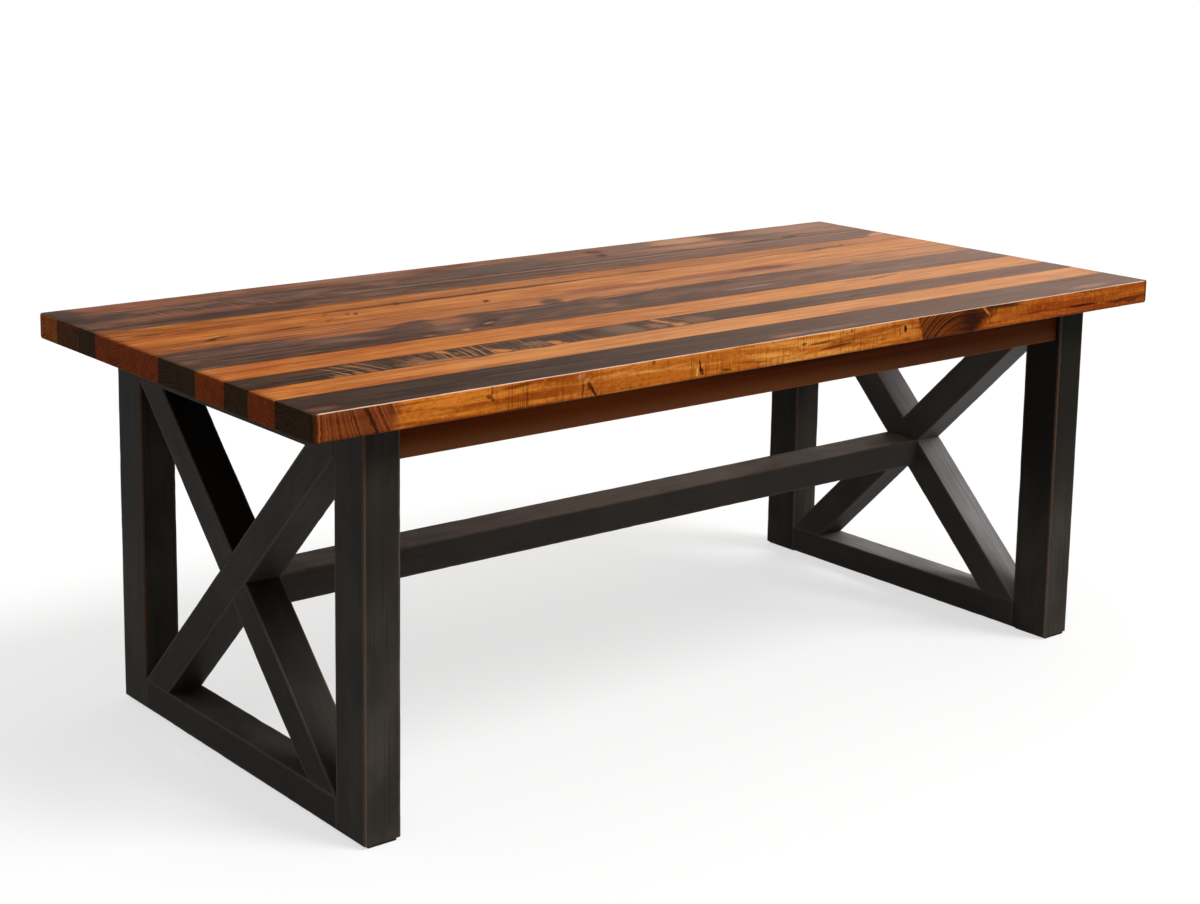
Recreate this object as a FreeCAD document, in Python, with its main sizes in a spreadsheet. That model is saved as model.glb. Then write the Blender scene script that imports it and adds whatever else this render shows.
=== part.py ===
import FreeCAD, Part
import Sketcher
import math
import os

# A sawbuck dining table: a top of eleven glued planks on two square end frames,
# each braced by a half-lapped cross, with one stretcher between the crossings.
# Millimetres. +X runs along the table, +Y to its back, +Z up, and the origin is
# on the floor under the middle of the top.

# Driving dimensions. Every other size is worked out from these.
DRIVING_SIZES = [
    ("table_length", 2032),
    ("table_width", 965),
    ("table_height", 762),
    ("top_thickness", 48),
    ("top_arris", 3.5),              # easing round the upper edge of the top
    ("top_underside_arris", 5),      # easing round its lower edge
    ("top_corner", 6),               # its four corners in plan
    ("seam_1", 110.5),               # glue lines, from the front edge of the top
    ("seam_2", 193),
    ("seam_3", 269),
    ("seam_4", 365),
    ("seam_5", 493.5),
    ("seam_6", 559.5),
    ("seam_7", 665.5),
    ("seam_8", 729),
    ("seam_9", 795),
    ("seam_10", 885),
    ("spline_width", 30),            # loose splines in the glue lines
    ("spline_thickness", 8),
    ("spline_stop", 90),             # each stops this far from the plank's ends
    ("end_overhang", 129),           # top past the end frames
    ("side_overhang", 58.5),         # top past the legs' outer faces
    ("frame_depth", 72),             # every end-frame member, along the table
    ("leg_width", 88),
    ("leg_arris", 3),
    ("foot_chamfer", 2),
    ("bottom_rail_height", 57),
    ("top_rail_height", 69),
    ("member_arris", 2),             # rails, braces, stretcher and aprons
    ("rail_tenon_length", 40),
    ("rail_tenon_thickness", 24),
    ("tenon_shoulder", 10),          # above and below every tenon
    ("brace_width", 63.5),
    ("brace_tenon_width", 44),       # an upright stub tenon at each end of a brace
    ("brace_tenon_length", 20),
    ("brace_tenon_reach", 48),       # its middle, from the corner of the frame's opening
    ("stretcher_width", 88),
    ("stretcher_height", 57),
    ("stretcher_top", 357),
    ("stretcher_tenon_width", 50),
    ("stretcher_tenon_height", 30),
    ("stretcher_tenon_length", 30),
    ("apron_thickness", 22),
    ("apron_setback", 12.5),         # from the legs' outer faces
    ("apron_tenon_thickness", 12),
    ("apron_tenon_length", 24),
    ("cross_rail_depth", 60),        # along the table
    ("cross_rail_height", 57),
    ("cross_rail_tenon", 30),        # square tenon into each apron
    ("cross_rail_tenon_length", 12),
    ("clip_thickness", 2),           # steel Z-clips that hold the top down
    ("clip_width", 19),
    ("clip_flange", 34),
    ("clip_tongue", 9),
    ("clip_drop", 12),               # from the top's underside to the clip's lowest face
    ("clip_screw_reach", 24),        # from the apron or rail to the clip's screw
    ("kerf_length", 30),
    ("kerf_height", 3),
    ("kerf_depth", 11),
    ("clip_x", 430),                 # clips along each apron, from the middle
    ("clip_y", 150),                 # clips along each top rail
    ("clip_screw_diameter", 4.5),
    ("clip_screw_head", 9),          # hexagon heads, across their corners
    ("clip_screw_bite", 16),
    ("rail_screw_diameter", 6),      # the long screws of the cross rail
    ("rail_screw_head", 11.5),
    ("rail_screw_bite", 22),
    ("rail_screw_y", 268),
    ("counterbore_diameter", 18),
    ("counterbore_depth", 30),
    ("screw_head_height", 4),
    ("pad_thickness", 5),
    ("pad_width", 83),
    ("pad_depth", 56),
    ("pad_chamfer", 1.5),
]

# Heights and distances that several pieces share, as expressions on the sheet.
TOP_UNDERSIDE = "(sizes.table_height - sizes.top_thickness)"
FRAME_INSIDE_X = "(sizes.table_length / 2 - sizes.end_overhang - sizes.frame_depth)"
FRAME_MIDDLE_X = "(sizes.table_length / 2 - sizes.end_overhang - sizes.frame_depth / 2)"
LEG_OUTSIDE_Y = "(sizes.table_width / 2 - sizes.side_overhang)"
LEG_INSIDE_Y = "(sizes.table_width / 2 - sizes.side_overhang - sizes.leg_width)"
LEG_MIDDLE_Y = "(sizes.table_width / 2 - sizes.side_overhang - sizes.leg_width / 2)"
RAIL_TOP = "(sizes.pad_thickness + sizes.bottom_rail_height)"
TOP_RAIL_UNDERSIDE = f"({TOP_UNDERSIDE} - sizes.top_rail_height)"
OPENING_HALF_HEIGHT = f"(({TOP_RAIL_UNDERSIDE} - {RAIL_TOP}) / 2)"
CROSSING_Z = f"(({TOP_RAIL_UNDERSIDE} + {RAIL_TOP}) / 2)"
BRACE_TENON_Y = f"({LEG_INSIDE_Y} - sizes.brace_tenon_reach)"
APRON_INSIDE_Y = f"({LEG_OUTSIDE_Y} - sizes.apron_setback - sizes.apron_thickness)"
APRON_MIDDLE_Y = f"({LEG_OUTSIDE_Y} - sizes.apron_setback - sizes.apron_thickness / 2)"
STRETCHER_MIDDLE_Z = "(sizes.stretcher_top - sizes.stretcher_height / 2)"
CROSS_RAIL_MIDDLE_Z = f"({TOP_UNDERSIDE} - sizes.cross_rail_height / 2)"
CROSS_RAIL_UNDERSIDE = f"({TOP_UNDERSIDE} - sizes.cross_rail_height)"

PLANK_COUNT = 11
CLIP_XS = ("-sizes.clip_x", "sizes.clip_x")
RAIL_SCREW_YS = ("-sizes.rail_screw_y", "sizes.rail_screw_y")
CENTRE = ("0", "0", "0")
SIDES = (("left", -1), ("right", 1))
FACES = (("front", -1), ("back", 1))

# A sketch's own axes, in terms of the body's x, y and z, and the way a pocket cuts there.
SKETCH_PLANES = {
    "X": ("YZ_Plane", ("{1}", "{2}", "{0}"), "-X"),
    "Y": ("XZ_Plane", ("{0}", "{2}", "-({1})"), "+Y"),
    "Z": ("XY_Plane", ("{0}", "{1}", "{2}"), "-Z"),
}


def size_sheet(doc):
    """The spreadsheet of driving dimensions, one alias to a row."""
    sheet = doc.addObject("Spreadsheet::Sheet", "sizes")
    for row, (alias, value) in enumerate(DRIVING_SIZES, start=1):
        sheet.set(f"A{row}", alias.replace("_", " "))
        sheet.set(f"B{row}", str(value))
        sheet.setAlias(f"B{row}", alias)
    doc.recompute()
    return sheet


class Piece:
    """One sub-part: a body about its own centre, worked on as at a bench.

    Sizes and places are expressions on the sheet, and places are in the body's axes.
    """

    def __init__(self, doc, label, place):
        self.doc = doc
        self.body = doc.addObject("PartDesign::Body", label)
        self.body.Label = label
        for axis, expression in zip("xyz", place):
            self.body.setExpression("Placement.Base." + axis, expression)

    def sketch(self, axis, at):
        """An empty sketch square to one of the body's axes, its own origin at a given place."""
        role, sketch_axes, _ = SKETCH_PLANES[axis]
        planes = [item for item in self.body.Origin.OriginFeatures if item.Role == role]
        sketch = self.body.newObject("Sketcher::SketchObject", "sketch")
        sketch.AttachmentSupport = [(planes[0], "")]
        sketch.MapMode = "FlatFace"
        for own_axis, source in zip("xyz", sketch_axes):
            sketch.setExpression("AttachmentOffset.Base." + own_axis, source.format(*at))
        return sketch

    def rectangle(self, axis, width, height, at):
        """A sketched rectangle centred on a place."""
        sketch = self.sketch(axis, at)
        corners = [FreeCAD.Vector(x, y, 0) for x, y in ((-9, -7), (9, -7), (9, 7), (-9, 7))]
        lines = closed_outline(sketch, corners)
        add = sketch.addConstraint
        for line, way in zip(lines, ("Horizontal", "Vertical", "Horizontal", "Vertical")):
            add(Sketcher.Constraint(way, line))
        add(Sketcher.Constraint("Symmetric", lines[0], 1, lines[2], 1, -1, 1))
        bind_length(sketch, "DistanceX", lines[0], width, "width")
        bind_length(sketch, "DistanceY", lines[1], height, "height")
        return sketch

    def circle(self, axis, diameter, at):
        """A sketched circle centred on a place."""
        sketch = self.sketch(axis, at)
        centred_ring(sketch, diameter, False)
        return sketch

    def hexagon(self, axis, across_corners, at):
        """A sketched regular hexagon centred on a place, its corners on a helping circle."""
        sketch = self.sketch(axis, at)
        turns = [math.radians(60 * corner) for corner in range(6)]
        lines = closed_outline(sketch, [FreeCAD.Vector(5 * math.cos(a), 5 * math.sin(a), 0) for a in turns])
        ring = centred_ring(sketch, across_corners, True)
        add = sketch.addConstraint
        for line in lines:
            add(Sketcher.Constraint("PointOnObject", line, 1, ring))
        for line in lines[1:]:
            add(Sketcher.Constraint("Equal", lines[0], line))
        add(Sketcher.Constraint("Horizontal", lines[1]))
        return sketch

    def extrude(self, sketch, length):
        """Pads a sketch evenly to both sides of its plane."""
        pad = self.body.newObject("PartDesign::Pad", "pad")
        pad.Profile = sketch
        pad.SideType = "Symmetric"
        pad.setExpression("Length", length)
        self.doc.recompute()

    def bar(self, axis, width, height, length, at=CENTRE):
        """Adds a straight bar that runs along one axis."""
        self.extrude(self.rectangle(axis, width, height, at), length)

    def sink(self, sketch, toward, depth):
        """Cuts a sketch into the body one way, and makes sure that something was cut."""
        volume = self.body.Shape.Volume
        pocket = self.body.newObject("PartDesign::Pocket", "pocket")
        pocket.Profile = sketch
        pocket.Reversed = toward != SKETCH_PLANES[toward[1]][2]
        pocket.setExpression("Length", depth)
        self.doc.recompute()
        if self.body.Shape.Volume > volume - 1:
            raise RuntimeError(self.body.Label + ": a cut missed the wood")

    def mortise(self, toward, width, height, depth, at):
        """Cuts a square-cornered hole from a place, one way."""
        self.sink(self.rectangle(toward[1], width, height, at), toward, depth)

    def bore(self, toward, diameter, depth, at):
        """Drills a round hole from a place, one way."""
        self.sink(self.circle(toward[1], diameter, at), toward, depth)

    def ease(self, size, chosen, kind="Fillet"):
        """Takes off the edges that a test picks, as a round (Fillet) or a flat (Chamfer)."""
        solid = self.body.Tip
        names = [f"Edge{n}" for n, edge in enumerate(solid.Shape.Edges, start=1) if chosen(edge)]
        easing = self.body.newObject("PartDesign::" + kind, "easing")
        easing.Base = (solid, names)
        easing.setExpression("Radius" if kind == "Fillet" else "Size", size)
        self.doc.recompute()


def closed_outline(sketch, corners):
    """Straight lines through the corners and back to the first, joined end to end."""
    ends = corners[1:] + corners[:1]
    lines = [sketch.addGeometry(Part.LineSegment(a, b)) for a, b in zip(corners, ends)]
    for line, following in zip(lines, lines[1:] + lines[:1]):
        sketch.addConstraint(Sketcher.Constraint("Coincident", line, 2, following, 1))
    return lines


def centred_ring(sketch, diameter, helping):
    """A circle about the sketch's own origin, which may only help to place other lines."""
    circle = Part.Circle(FreeCAD.Vector(), FreeCAD.Vector(0, 0, 1), 5)
    ring = sketch.addGeometry(circle, helping)
    sketch.addConstraint(Sketcher.Constraint("Coincident", ring, 3, -1, 1))
    index = sketch.addConstraint(Sketcher.Constraint("Diameter", ring, 10))
    sketch.renameConstraint(index, "diameter")
    sketch.setExpression("Constraints.diameter", diameter)
    return ring


def bind_length(sketch, kind, line, expression, name):
    """Names a line's length and binds it to an expression."""
    index = sketch.addConstraint(Sketcher.Constraint(kind, line, 1, line, 2, 10))
    sketch.renameConstraint(index, name)
    sketch.setExpression("Constraints." + name, expression)


def runs_along(axis):
    """A test for straight edges along one axis, longer than any arris."""
    across = [other for other in "XYZ" if other != axis]

    def chosen(edge):
        box = edge.BoundBox
        spans = {"X": box.XLength, "Y": box.YLength, "Z": box.ZLength}
        return spans[axis] > 20 and all(spans[other] < 0.01 for other in across)

    return chosen


def screw_places():
    """Where each screw goes up into the top: x, y, diameter and bite, as expressions."""
    clips = [(x, y, "sizes.clip_screw_diameter", "sizes.clip_screw_bite")
             for x, y, _ in clip_places("sizes.clip_screw_reach")]
    long_screws = [("0", y, "sizes.rail_screw_diameter", "sizes.rail_screw_bite")
                   for y in RAIL_SCREW_YS]
    return clips + long_screws


def clip_places(reach):
    """Each clip's x and y, a given reach inside the apron or top rail, and the way it faces."""
    places = []
    for _, side in FACES:
        for x in CLIP_XS:
            places.append((x, f"{side} * ({APRON_INSIDE_Y} - {reach})", 90 + 90 * side))
    for _, side in SIDES:
        for way in (-1, 1):
            x = f"{side} * ({FRAME_INSIDE_X} - {reach})"
            places.append((x, f"{way} * sizes.clip_y", 90 * side))
    return places


def top_board(doc, sheet, number):
    """A plank of the top, from one glue line to the next, grooved for the splines.

    The first and last planks also carry the long edges and the corners of the top.
    """
    seams = ["0"] + [f"sizes.seam_{n}" for n in range(1, PLANK_COUNT)] + ["sizes.table_width"]
    near, far = seams[number - 1], seams[number]
    middle_y = f"(({near} + {far} - sizes.table_width) / 2)"
    width = f"({far} - {near})"
    board = Piece(doc, f"top_board_{number:02d}",
                  ("0", middle_y, "sizes.table_height - sizes.top_thickness / 2"))
    board.bar("X", width, "sizes.top_thickness", "sizes.table_length")

    half_length = sheet.table_length / 2
    half_width = sheet.evalExpression(width) / 2
    outer_sides = [side for side, last in ((-1, 1), (1, PLANK_COUNT)) if number == last]

    def at_rim(edge):
        """On the outline of the whole top: at a plank's end, or on an outer long side."""
        at_end = abs(edge.CenterOfMass.x) > half_length - sheet.top_corner
        return at_end or any(side * edge.CenterOfMass.y > half_width - 0.01 for side in outer_sides)

    def outer_corner(edge):
        along_z = runs_along("Z")(edge)
        return along_z and any(side * edge.CenterOfMass.y > half_width - 0.01 for side in outer_sides)

    def level_rim(way):
        half_thickness = sheet.top_thickness / 2

        def chosen(edge):
            box = edge.BoundBox
            return box.ZLength < 0.01 and way * box.ZMin > half_thickness - 0.01 and at_rim(edge)
        return chosen

    if outer_sides:
        board.ease("sizes.top_corner", outer_corner)
    board.ease("sizes.top_arris", level_rim(1))
    board.ease("sizes.top_underside_arris", level_rim(-1))

    groove_length = "sizes.table_length - 2 * sizes.spline_stop"
    for side, toward, seam_there in ((-1, "+Y", number > 1), (1, "-Y", number < PLANK_COUNT)):
        if seam_there:
            board.mortise(toward, groove_length, "sizes.spline_thickness", "sizes.spline_width / 2",
                          ("0", f"{side} * {width} / 2", "0"))

    y_low = sheet.evalExpression(middle_y) - half_width
    y_high = sheet.evalExpression(middle_y) + half_width
    for x, y, diameter, bite in screw_places():
        if y_low < sheet.evalExpression(y) < y_high:
            board.bore("+Z", diameter, bite, (x, f"{y} - {middle_y}", "-sizes.top_thickness / 2"))
    return board.body


def board_splines(doc):
    """The loose splines that line the planks up, each in two facing grooves."""
    splines = []
    for number in range(1, PLANK_COUNT):
        spline = doc.addObject("Part::Box", "spline")
        spline.setExpression("Length", "sizes.table_length - 2 * sizes.spline_stop")
        spline.setExpression("Width", "sizes.spline_width")
        spline.setExpression("Height", "sizes.spline_thickness")
        spline.setExpression("Placement.Base.x", "sizes.spline_stop - sizes.table_length / 2")
        spline.setExpression("Placement.Base.y", f"sizes.seam_{number} - sizes.table_width / 2"
                                                 " - sizes.spline_width / 2")
        spline.setExpression("Placement.Base.z", "sizes.table_height - sizes.top_thickness / 2"
                                                 " - sizes.spline_thickness / 2")
        splines.append(spline)
    return group(doc, "board_splines", splines)


def group(doc, label, solids):
    """Identical small parts kept together as one sub-part."""
    together = doc.addObject("Part::Compound", label)
    together.Label = label
    together.Links = solids
    return together


def placed_copies(doc, label, master, places):
    """Copies of one body at several places, each given as x, y, z and a turn about Z."""
    copies = []
    for x, y, z, turn in places:
        copy = master.Shape.copy()
        copy.Placement = FreeCAD.Placement(FreeCAD.Vector(x, y, z),
                                           FreeCAD.Rotation(FreeCAD.Vector(0, 0, 1), turn))
        copies.append(copy)
    together = doc.addObject("Part::Feature", label)
    together.Label = label
    together.Shape = Part.makeCompound(copies)
    return together


def leg(doc, side_name, side, face_name, face):
    """A leg: mortised inside for both rails and for the apron, and chamfered round its foot."""
    height = f"({TOP_UNDERSIDE} - sizes.pad_thickness)"
    place = (f"{side} * {FRAME_MIDDLE_X}", f"{face} * {LEG_MIDDLE_Y}",
             f"sizes.pad_thickness + {height} / 2")
    post = Piece(doc, f"leg_{face_name}_{side_name}", place)
    post.bar("Z", "sizes.frame_depth", "sizes.leg_width", height)
    post.ease("sizes.leg_arris", runs_along("Z"))

    def foot_rim(edge):
        return edge.BoundBox.ZLength < 0.01 and edge.CenterOfMass.z < 0

    post.ease("sizes.foot_chamfer", foot_rim, "Chamfer")
    inward_y = "+Y" if face > 0 else "-Y"
    for rail_middle, tenon_height in (
            (f"(sizes.bottom_rail_height / 2 - {height} / 2)", rail_tenon("sizes.bottom_rail_height")),
            (f"({height} / 2 - sizes.top_rail_height / 2)", rail_tenon("sizes.top_rail_height"))):
        post.mortise(inward_y, "sizes.rail_tenon_thickness", tenon_height, "sizes.rail_tenon_length",
                     ("0", f"{-face} * sizes.leg_width / 2", rail_middle))

    inward_x = "+X" if side > 0 else "-X"
    apron_y = f"{face} * (sizes.leg_width / 2 - sizes.apron_setback - sizes.apron_thickness / 2)"
    post.mortise(inward_x, "sizes.apron_tenon_thickness", rail_tenon("sizes.top_rail_height"),
                 "sizes.apron_tenon_length",
                 (f"{-side} * sizes.frame_depth / 2", apron_y,
                  f"{height} / 2 - sizes.top_rail_height / 2"))
    return post.body


def rail_tenon(rail_height):
    """The height of a tenon that leaves a shoulder above and below."""
    return f"({rail_height} - 2 * sizes.tenon_shoulder)"


def frame_rail(doc, label, side, height, middle_z, toward_brace):
    """A rail of an end frame: tenoned into both legs and mortised for two brace ends."""
    between_legs = f"(2 * {LEG_INSIDE_Y})"
    rail = Piece(doc, label, (f"{side} * {FRAME_MIDDLE_X}", "0", middle_z))
    rail.bar("Y", "sizes.frame_depth", height, between_legs)
    rail.ease("sizes.member_arris", runs_along("Y"))
    rail.bar("Y", "sizes.rail_tenon_thickness", rail_tenon(height),
             f"{between_legs} + 2 * sizes.rail_tenon_length")
    into_rail = "-Z" if toward_brace > 0 else "+Z"
    for way in (-1, 1):
        rail.mortise(into_rail, "sizes.rail_tenon_thickness", "sizes.brace_tenon_width",
                     "sizes.brace_tenon_length",
                     ("0", f"{way} * {BRACE_TENON_Y}", f"{toward_brace} * {height} / 2"))
    return rail


def bottom_rail(doc, side_name, side):
    """The rail that stands on the floor's side of the cross, level with the legs' feet."""
    middle_z = "sizes.pad_thickness + sizes.bottom_rail_height / 2"
    rail = frame_rail(doc, f"bottom_rail_{side_name}", side, "sizes.bottom_rail_height", middle_z, 1)
    return rail.body


def top_rail(doc, side_name, side):
    """The rail under the top, with two saw kerfs inside for the clips."""
    middle_z = f"{TOP_UNDERSIDE} - sizes.top_rail_height / 2"
    rail = frame_rail(doc, f"top_rail_{side_name}", side, "sizes.top_rail_height", middle_z, -1)
    for way in (-1, 1):
        rail.mortise("+X" if side > 0 else "-X", "sizes.kerf_length", "sizes.kerf_height",
                     "sizes.kerf_depth",
                     (f"{-side} * sizes.frame_depth / 2", f"{way} * sizes.clip_y",
                      kerf_middle("sizes.top_rail_height")))
    return rail.body


def kerf_middle(member_height):
    """A kerf's middle, in a member whose upper face meets the top: the clip bears on its roof."""
    return f"{member_height} / 2 - sizes.clip_drop + sizes.clip_thickness - sizes.kerf_height / 2"


def brace_outline(brace, lean):
    """A brace's side view about the crossing: it rises to the back when lean is 1.

    Its long edges run from the corners of the frame's opening, and each end lies flat
    on a rail, so the cut follows from the opening and the brace's width.
    """
    sketch = brace.sketch("X", CENTRE)
    reach, rise, foot_length = 336, 291, 90    # a first guess, which the constraints then settle
    corners = [FreeCAD.Vector(lean * y, z, 0)
               for y, z in ((-reach, -rise), (foot_length - reach, -rise),
                            (reach, rise), (reach - foot_length, rise))]
    foot, under_edge, head, upper_edge = closed_outline(sketch, corners)
    add = sketch.addConstraint
    add(Sketcher.Constraint("Horizontal", foot))
    add(Sketcher.Constraint("Horizontal", head))
    add(Sketcher.Constraint("Symmetric", foot, 1, head, 1, -1, 1))
    add(Sketcher.Constraint("Parallel", under_edge, upper_edge))
    left_end, right_end = (foot, head) if lean > 0 else (head, foot)
    span = Sketcher.Constraint("DistanceX", left_end, 1, right_end, 1, 2 * reach)
    climb = Sketcher.Constraint("DistanceY", foot, 1, head, 1, 2 * rise)
    width = Sketcher.Constraint("Distance", foot, 1, under_edge, foot_length)
    for name, constraint, expression in (("span", span, f"2 * {LEG_INSIDE_Y}"),
                                         ("climb", climb, f"2 * {OPENING_HALF_HEIGHT}"),
                                         ("width", width, "sizes.brace_width")):
        sketch.renameConstraint(add(constraint), name)
        sketch.setExpression("Constraints." + name, expression)
    return sketch


def brace(doc, side_name, side, face_name, lean):
    """One arm of a cross: half-lapped at the middle, with an upright stub tenon at each end.

    The arm that rises to the front keeps the outer half of the lap, and the stretcher's
    mortise is cut into the inner half of the finished crossing.
    """
    arm = Piece(doc, f"brace_up_{face_name}_{side_name}", (f"{side} * {FRAME_MIDDLE_X}", "0", CROSSING_Z))
    arm.extrude(brace_outline(arm, lean), "sizes.frame_depth")

    def long_edge(edge):
        box = edge.BoundBox
        return box.XLength < 0.01 and box.YLength > 400

    arm.ease("sizes.member_arris", long_edge)
    keeps_outer_half = lean < 0
    cut_side = -side if keeps_outer_half else side
    arm.sink(brace_outline(arm, -lean), "+X" if cut_side > 0 else "-X", "sizes.frame_depth / 2")
    arm.mortise("+X" if side > 0 else "-X", "sizes.stretcher_tenon_width",
                "sizes.stretcher_tenon_height", "sizes.stretcher_tenon_length",
                (f"{-side} * sizes.frame_depth / 2", "0", f"{STRETCHER_MIDDLE_Z} - {CROSSING_Z}"))
    for end in (-1, 1):
        joint = ("0", f"{end * lean} * {BRACE_TENON_Y}", f"{end} * {OPENING_HALF_HEIGHT}")
        arm.bar("Z", "sizes.rail_tenon_thickness", "sizes.brace_tenon_width",
                "2 * sizes.brace_tenon_length", joint)
    return arm.body


def stretcher(doc):
    """The long bar between the crossings, with a stub tenon at each end."""
    between_frames = f"(2 * {FRAME_INSIDE_X})"
    bar = Piece(doc, "stretcher", ("0", "0", STRETCHER_MIDDLE_Z))
    bar.bar("X", "sizes.stretcher_width", "sizes.stretcher_height", between_frames)
    bar.ease("sizes.member_arris", runs_along("X"))
    bar.bar("X", "sizes.stretcher_tenon_width", "sizes.stretcher_tenon_height",
            f"{between_frames} + 2 * sizes.stretcher_tenon_length")
    return bar.body


def apron(doc, face_name, face):
    """A board on edge under the top, tenoned into two legs and mortised for the cross rail."""
    between_frames = f"(2 * {FRAME_INSIDE_X})"
    board = Piece(doc, f"apron_{face_name}",
                  ("0", f"{face} * {APRON_MIDDLE_Y}", f"{TOP_UNDERSIDE} - sizes.top_rail_height / 2"))
    board.bar("X", "sizes.apron_thickness", "sizes.top_rail_height", between_frames)

    def lower_edge(edge):
        return runs_along("X")(edge) and edge.CenterOfMass.z < 0

    board.ease("sizes.member_arris", lower_edge)
    board.bar("X", "sizes.apron_tenon_thickness", rail_tenon("sizes.top_rail_height"),
              f"{between_frames} + 2 * sizes.apron_tenon_length")
    into_apron = "+Y" if face > 0 else "-Y"
    inner_face = f"{-face} * sizes.apron_thickness / 2"
    board.mortise(into_apron, "sizes.cross_rail_tenon", "sizes.cross_rail_tenon",
                  "sizes.cross_rail_tenon_length",
                  ("0", inner_face, "(sizes.top_rail_height - sizes.cross_rail_height) / 2"))
    for x in CLIP_XS:
        board.mortise(into_apron, "sizes.kerf_length", "sizes.kerf_height", "sizes.kerf_depth",
                      (x, inner_face, kerf_middle("sizes.top_rail_height")))
    return board.body


def cross_rail(doc):
    """The rail under the middle of the top, tenoned into both aprons, its screws counterbored."""
    between_aprons = f"(2 * {APRON_INSIDE_Y})"
    rail = Piece(doc, "cross_rail", ("0", "0", CROSS_RAIL_MIDDLE_Z))
    rail.bar("Y", "sizes.cross_rail_depth", "sizes.cross_rail_height", between_aprons)

    def lower_edge(edge):
        return runs_along("Y")(edge) and edge.CenterOfMass.z < 0

    rail.ease("sizes.member_arris", lower_edge)
    rail.bar("Y", "sizes.cross_rail_tenon", "sizes.cross_rail_tenon",
             f"{between_aprons} + 2 * sizes.cross_rail_tenon_length")
    for y in RAIL_SCREW_YS:
        underside = ("0", y, "-sizes.cross_rail_height / 2")
        rail.bore("+Z", "sizes.counterbore_diameter", "sizes.counterbore_depth", underside)
        rail.bore("+Z", "sizes.rail_screw_diameter", "sizes.cross_rail_height", underside)
    return rail.body


def clip_master(doc):
    """A steel Z-clip: its flange lies under the top and its tongue goes into a kerf.

    Its own origin is where the apron's inner face meets the top, and +Y leads away
    from the apron.
    """
    clip = Piece(doc, "clip_master", CENTRE)
    flange_middle = ("0", "sizes.clip_flange / 2", "-sizes.clip_thickness / 2")
    clip.bar("X", "sizes.clip_flange", "sizes.clip_thickness", "sizes.clip_width", flange_middle)
    clip.bar("X", "sizes.clip_thickness", "sizes.clip_drop", "sizes.clip_width",
             ("0", "sizes.clip_thickness / 2", "-sizes.clip_drop / 2"))
    clip.bar("X", "sizes.clip_tongue + sizes.clip_thickness", "sizes.clip_thickness", "sizes.clip_width",
             ("0", "(sizes.clip_thickness - sizes.clip_tongue) / 2",
              "sizes.clip_thickness / 2 - sizes.clip_drop"))
    clip.bore("-Z", "sizes.clip_screw_diameter", "sizes.clip_thickness",
              ("0", "sizes.clip_screw_reach", "0"))
    return clip.body


def screw_master(doc, label, diameter, head, length):
    """A hexagon-headed screw, standing on the plane that its head pulls against."""
    screw = Piece(doc, label, CENTRE)
    screw.extrude(screw.hexagon("Z", head, ("0", "0", "-sizes.screw_head_height / 2")),
                  "sizes.screw_head_height")
    screw.extrude(screw.circle("Z", diameter, ("0", "0", f"{length} / 2")), length)
    return screw.body


def tabletop_clips(doc, sheet):
    """Two clips along each apron and two along each top rail."""
    underside = sheet.evalExpression(TOP_UNDERSIDE)
    places = [(sheet.evalExpression(x), sheet.evalExpression(y), underside, turn)
              for x, y, turn in clip_places("0")]
    return placed_copies(doc, "tabletop_clips", clip_master(doc), places)


def clip_screws(doc, sheet):
    """One screw up through each clip."""
    length = "(sizes.clip_thickness + sizes.clip_screw_bite)"
    master = screw_master(doc, "clip_screw_master", "sizes.clip_screw_diameter",
                          "sizes.clip_screw_head", length)
    height = sheet.evalExpression(f"{TOP_UNDERSIDE} - sizes.clip_thickness")
    places = [(sheet.evalExpression(x), sheet.evalExpression(y), height, 0)
              for x, y, _ in clip_places("sizes.clip_screw_reach")]
    return placed_copies(doc, "clip_screws", master, places)


def cross_rail_screws(doc, sheet):
    """Two long screws from the cross rail's counterbores up into the top."""
    length = "(sizes.cross_rail_height - sizes.counterbore_depth + sizes.rail_screw_bite)"
    master = screw_master(doc, "rail_screw_master", "sizes.rail_screw_diameter",
                          "sizes.rail_screw_head", length)
    height = sheet.evalExpression(f"{CROSS_RAIL_UNDERSIDE} + sizes.counterbore_depth")
    places = [(0, sheet.evalExpression(y), height, 0) for y in RAIL_SCREW_YS]
    return placed_copies(doc, "cross_rail_screws", master, places)


def foot_pad(doc, side_name, side, face_name, face):
    """A thin pad stuck under a leg, a little inside its edges."""
    pad = Piece(doc, f"foot_pad_{face_name}_{side_name}",
                (f"{side} * {FRAME_MIDDLE_X}", f"{face} * {LEG_MIDDLE_Y}", "sizes.pad_thickness / 2"))
    pad.bar("Z", "sizes.pad_depth", "sizes.pad_width", "sizes.pad_thickness")

    def lower_edge(edge):
        return edge.BoundBox.ZLength < 0.01 and edge.CenterOfMass.z < 0

    pad.ease("sizes.pad_chamfer", lower_edge, "Chamfer")
    return pad.body


def end_frame(doc, side_name, side):
    """Two legs, two rails and the cross between them."""
    pieces = [leg(doc, side_name, side, face_name, face) for face_name, face in FACES]
    pieces += [bottom_rail(doc, side_name, side), top_rail(doc, side_name, side)]
    pieces += [brace(doc, side_name, side, face_name, lean) for face_name, lean in FACES]
    pieces += [foot_pad(doc, side_name, side, face_name, face) for face_name, face in FACES]
    return pieces


def failed_objects(doc):
    """Objects that the document couldn't work out, which recompute doesn't report itself."""
    return [item.Label for item in doc.Objects if {"Invalid", "Error"} & set(item.State)]


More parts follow.
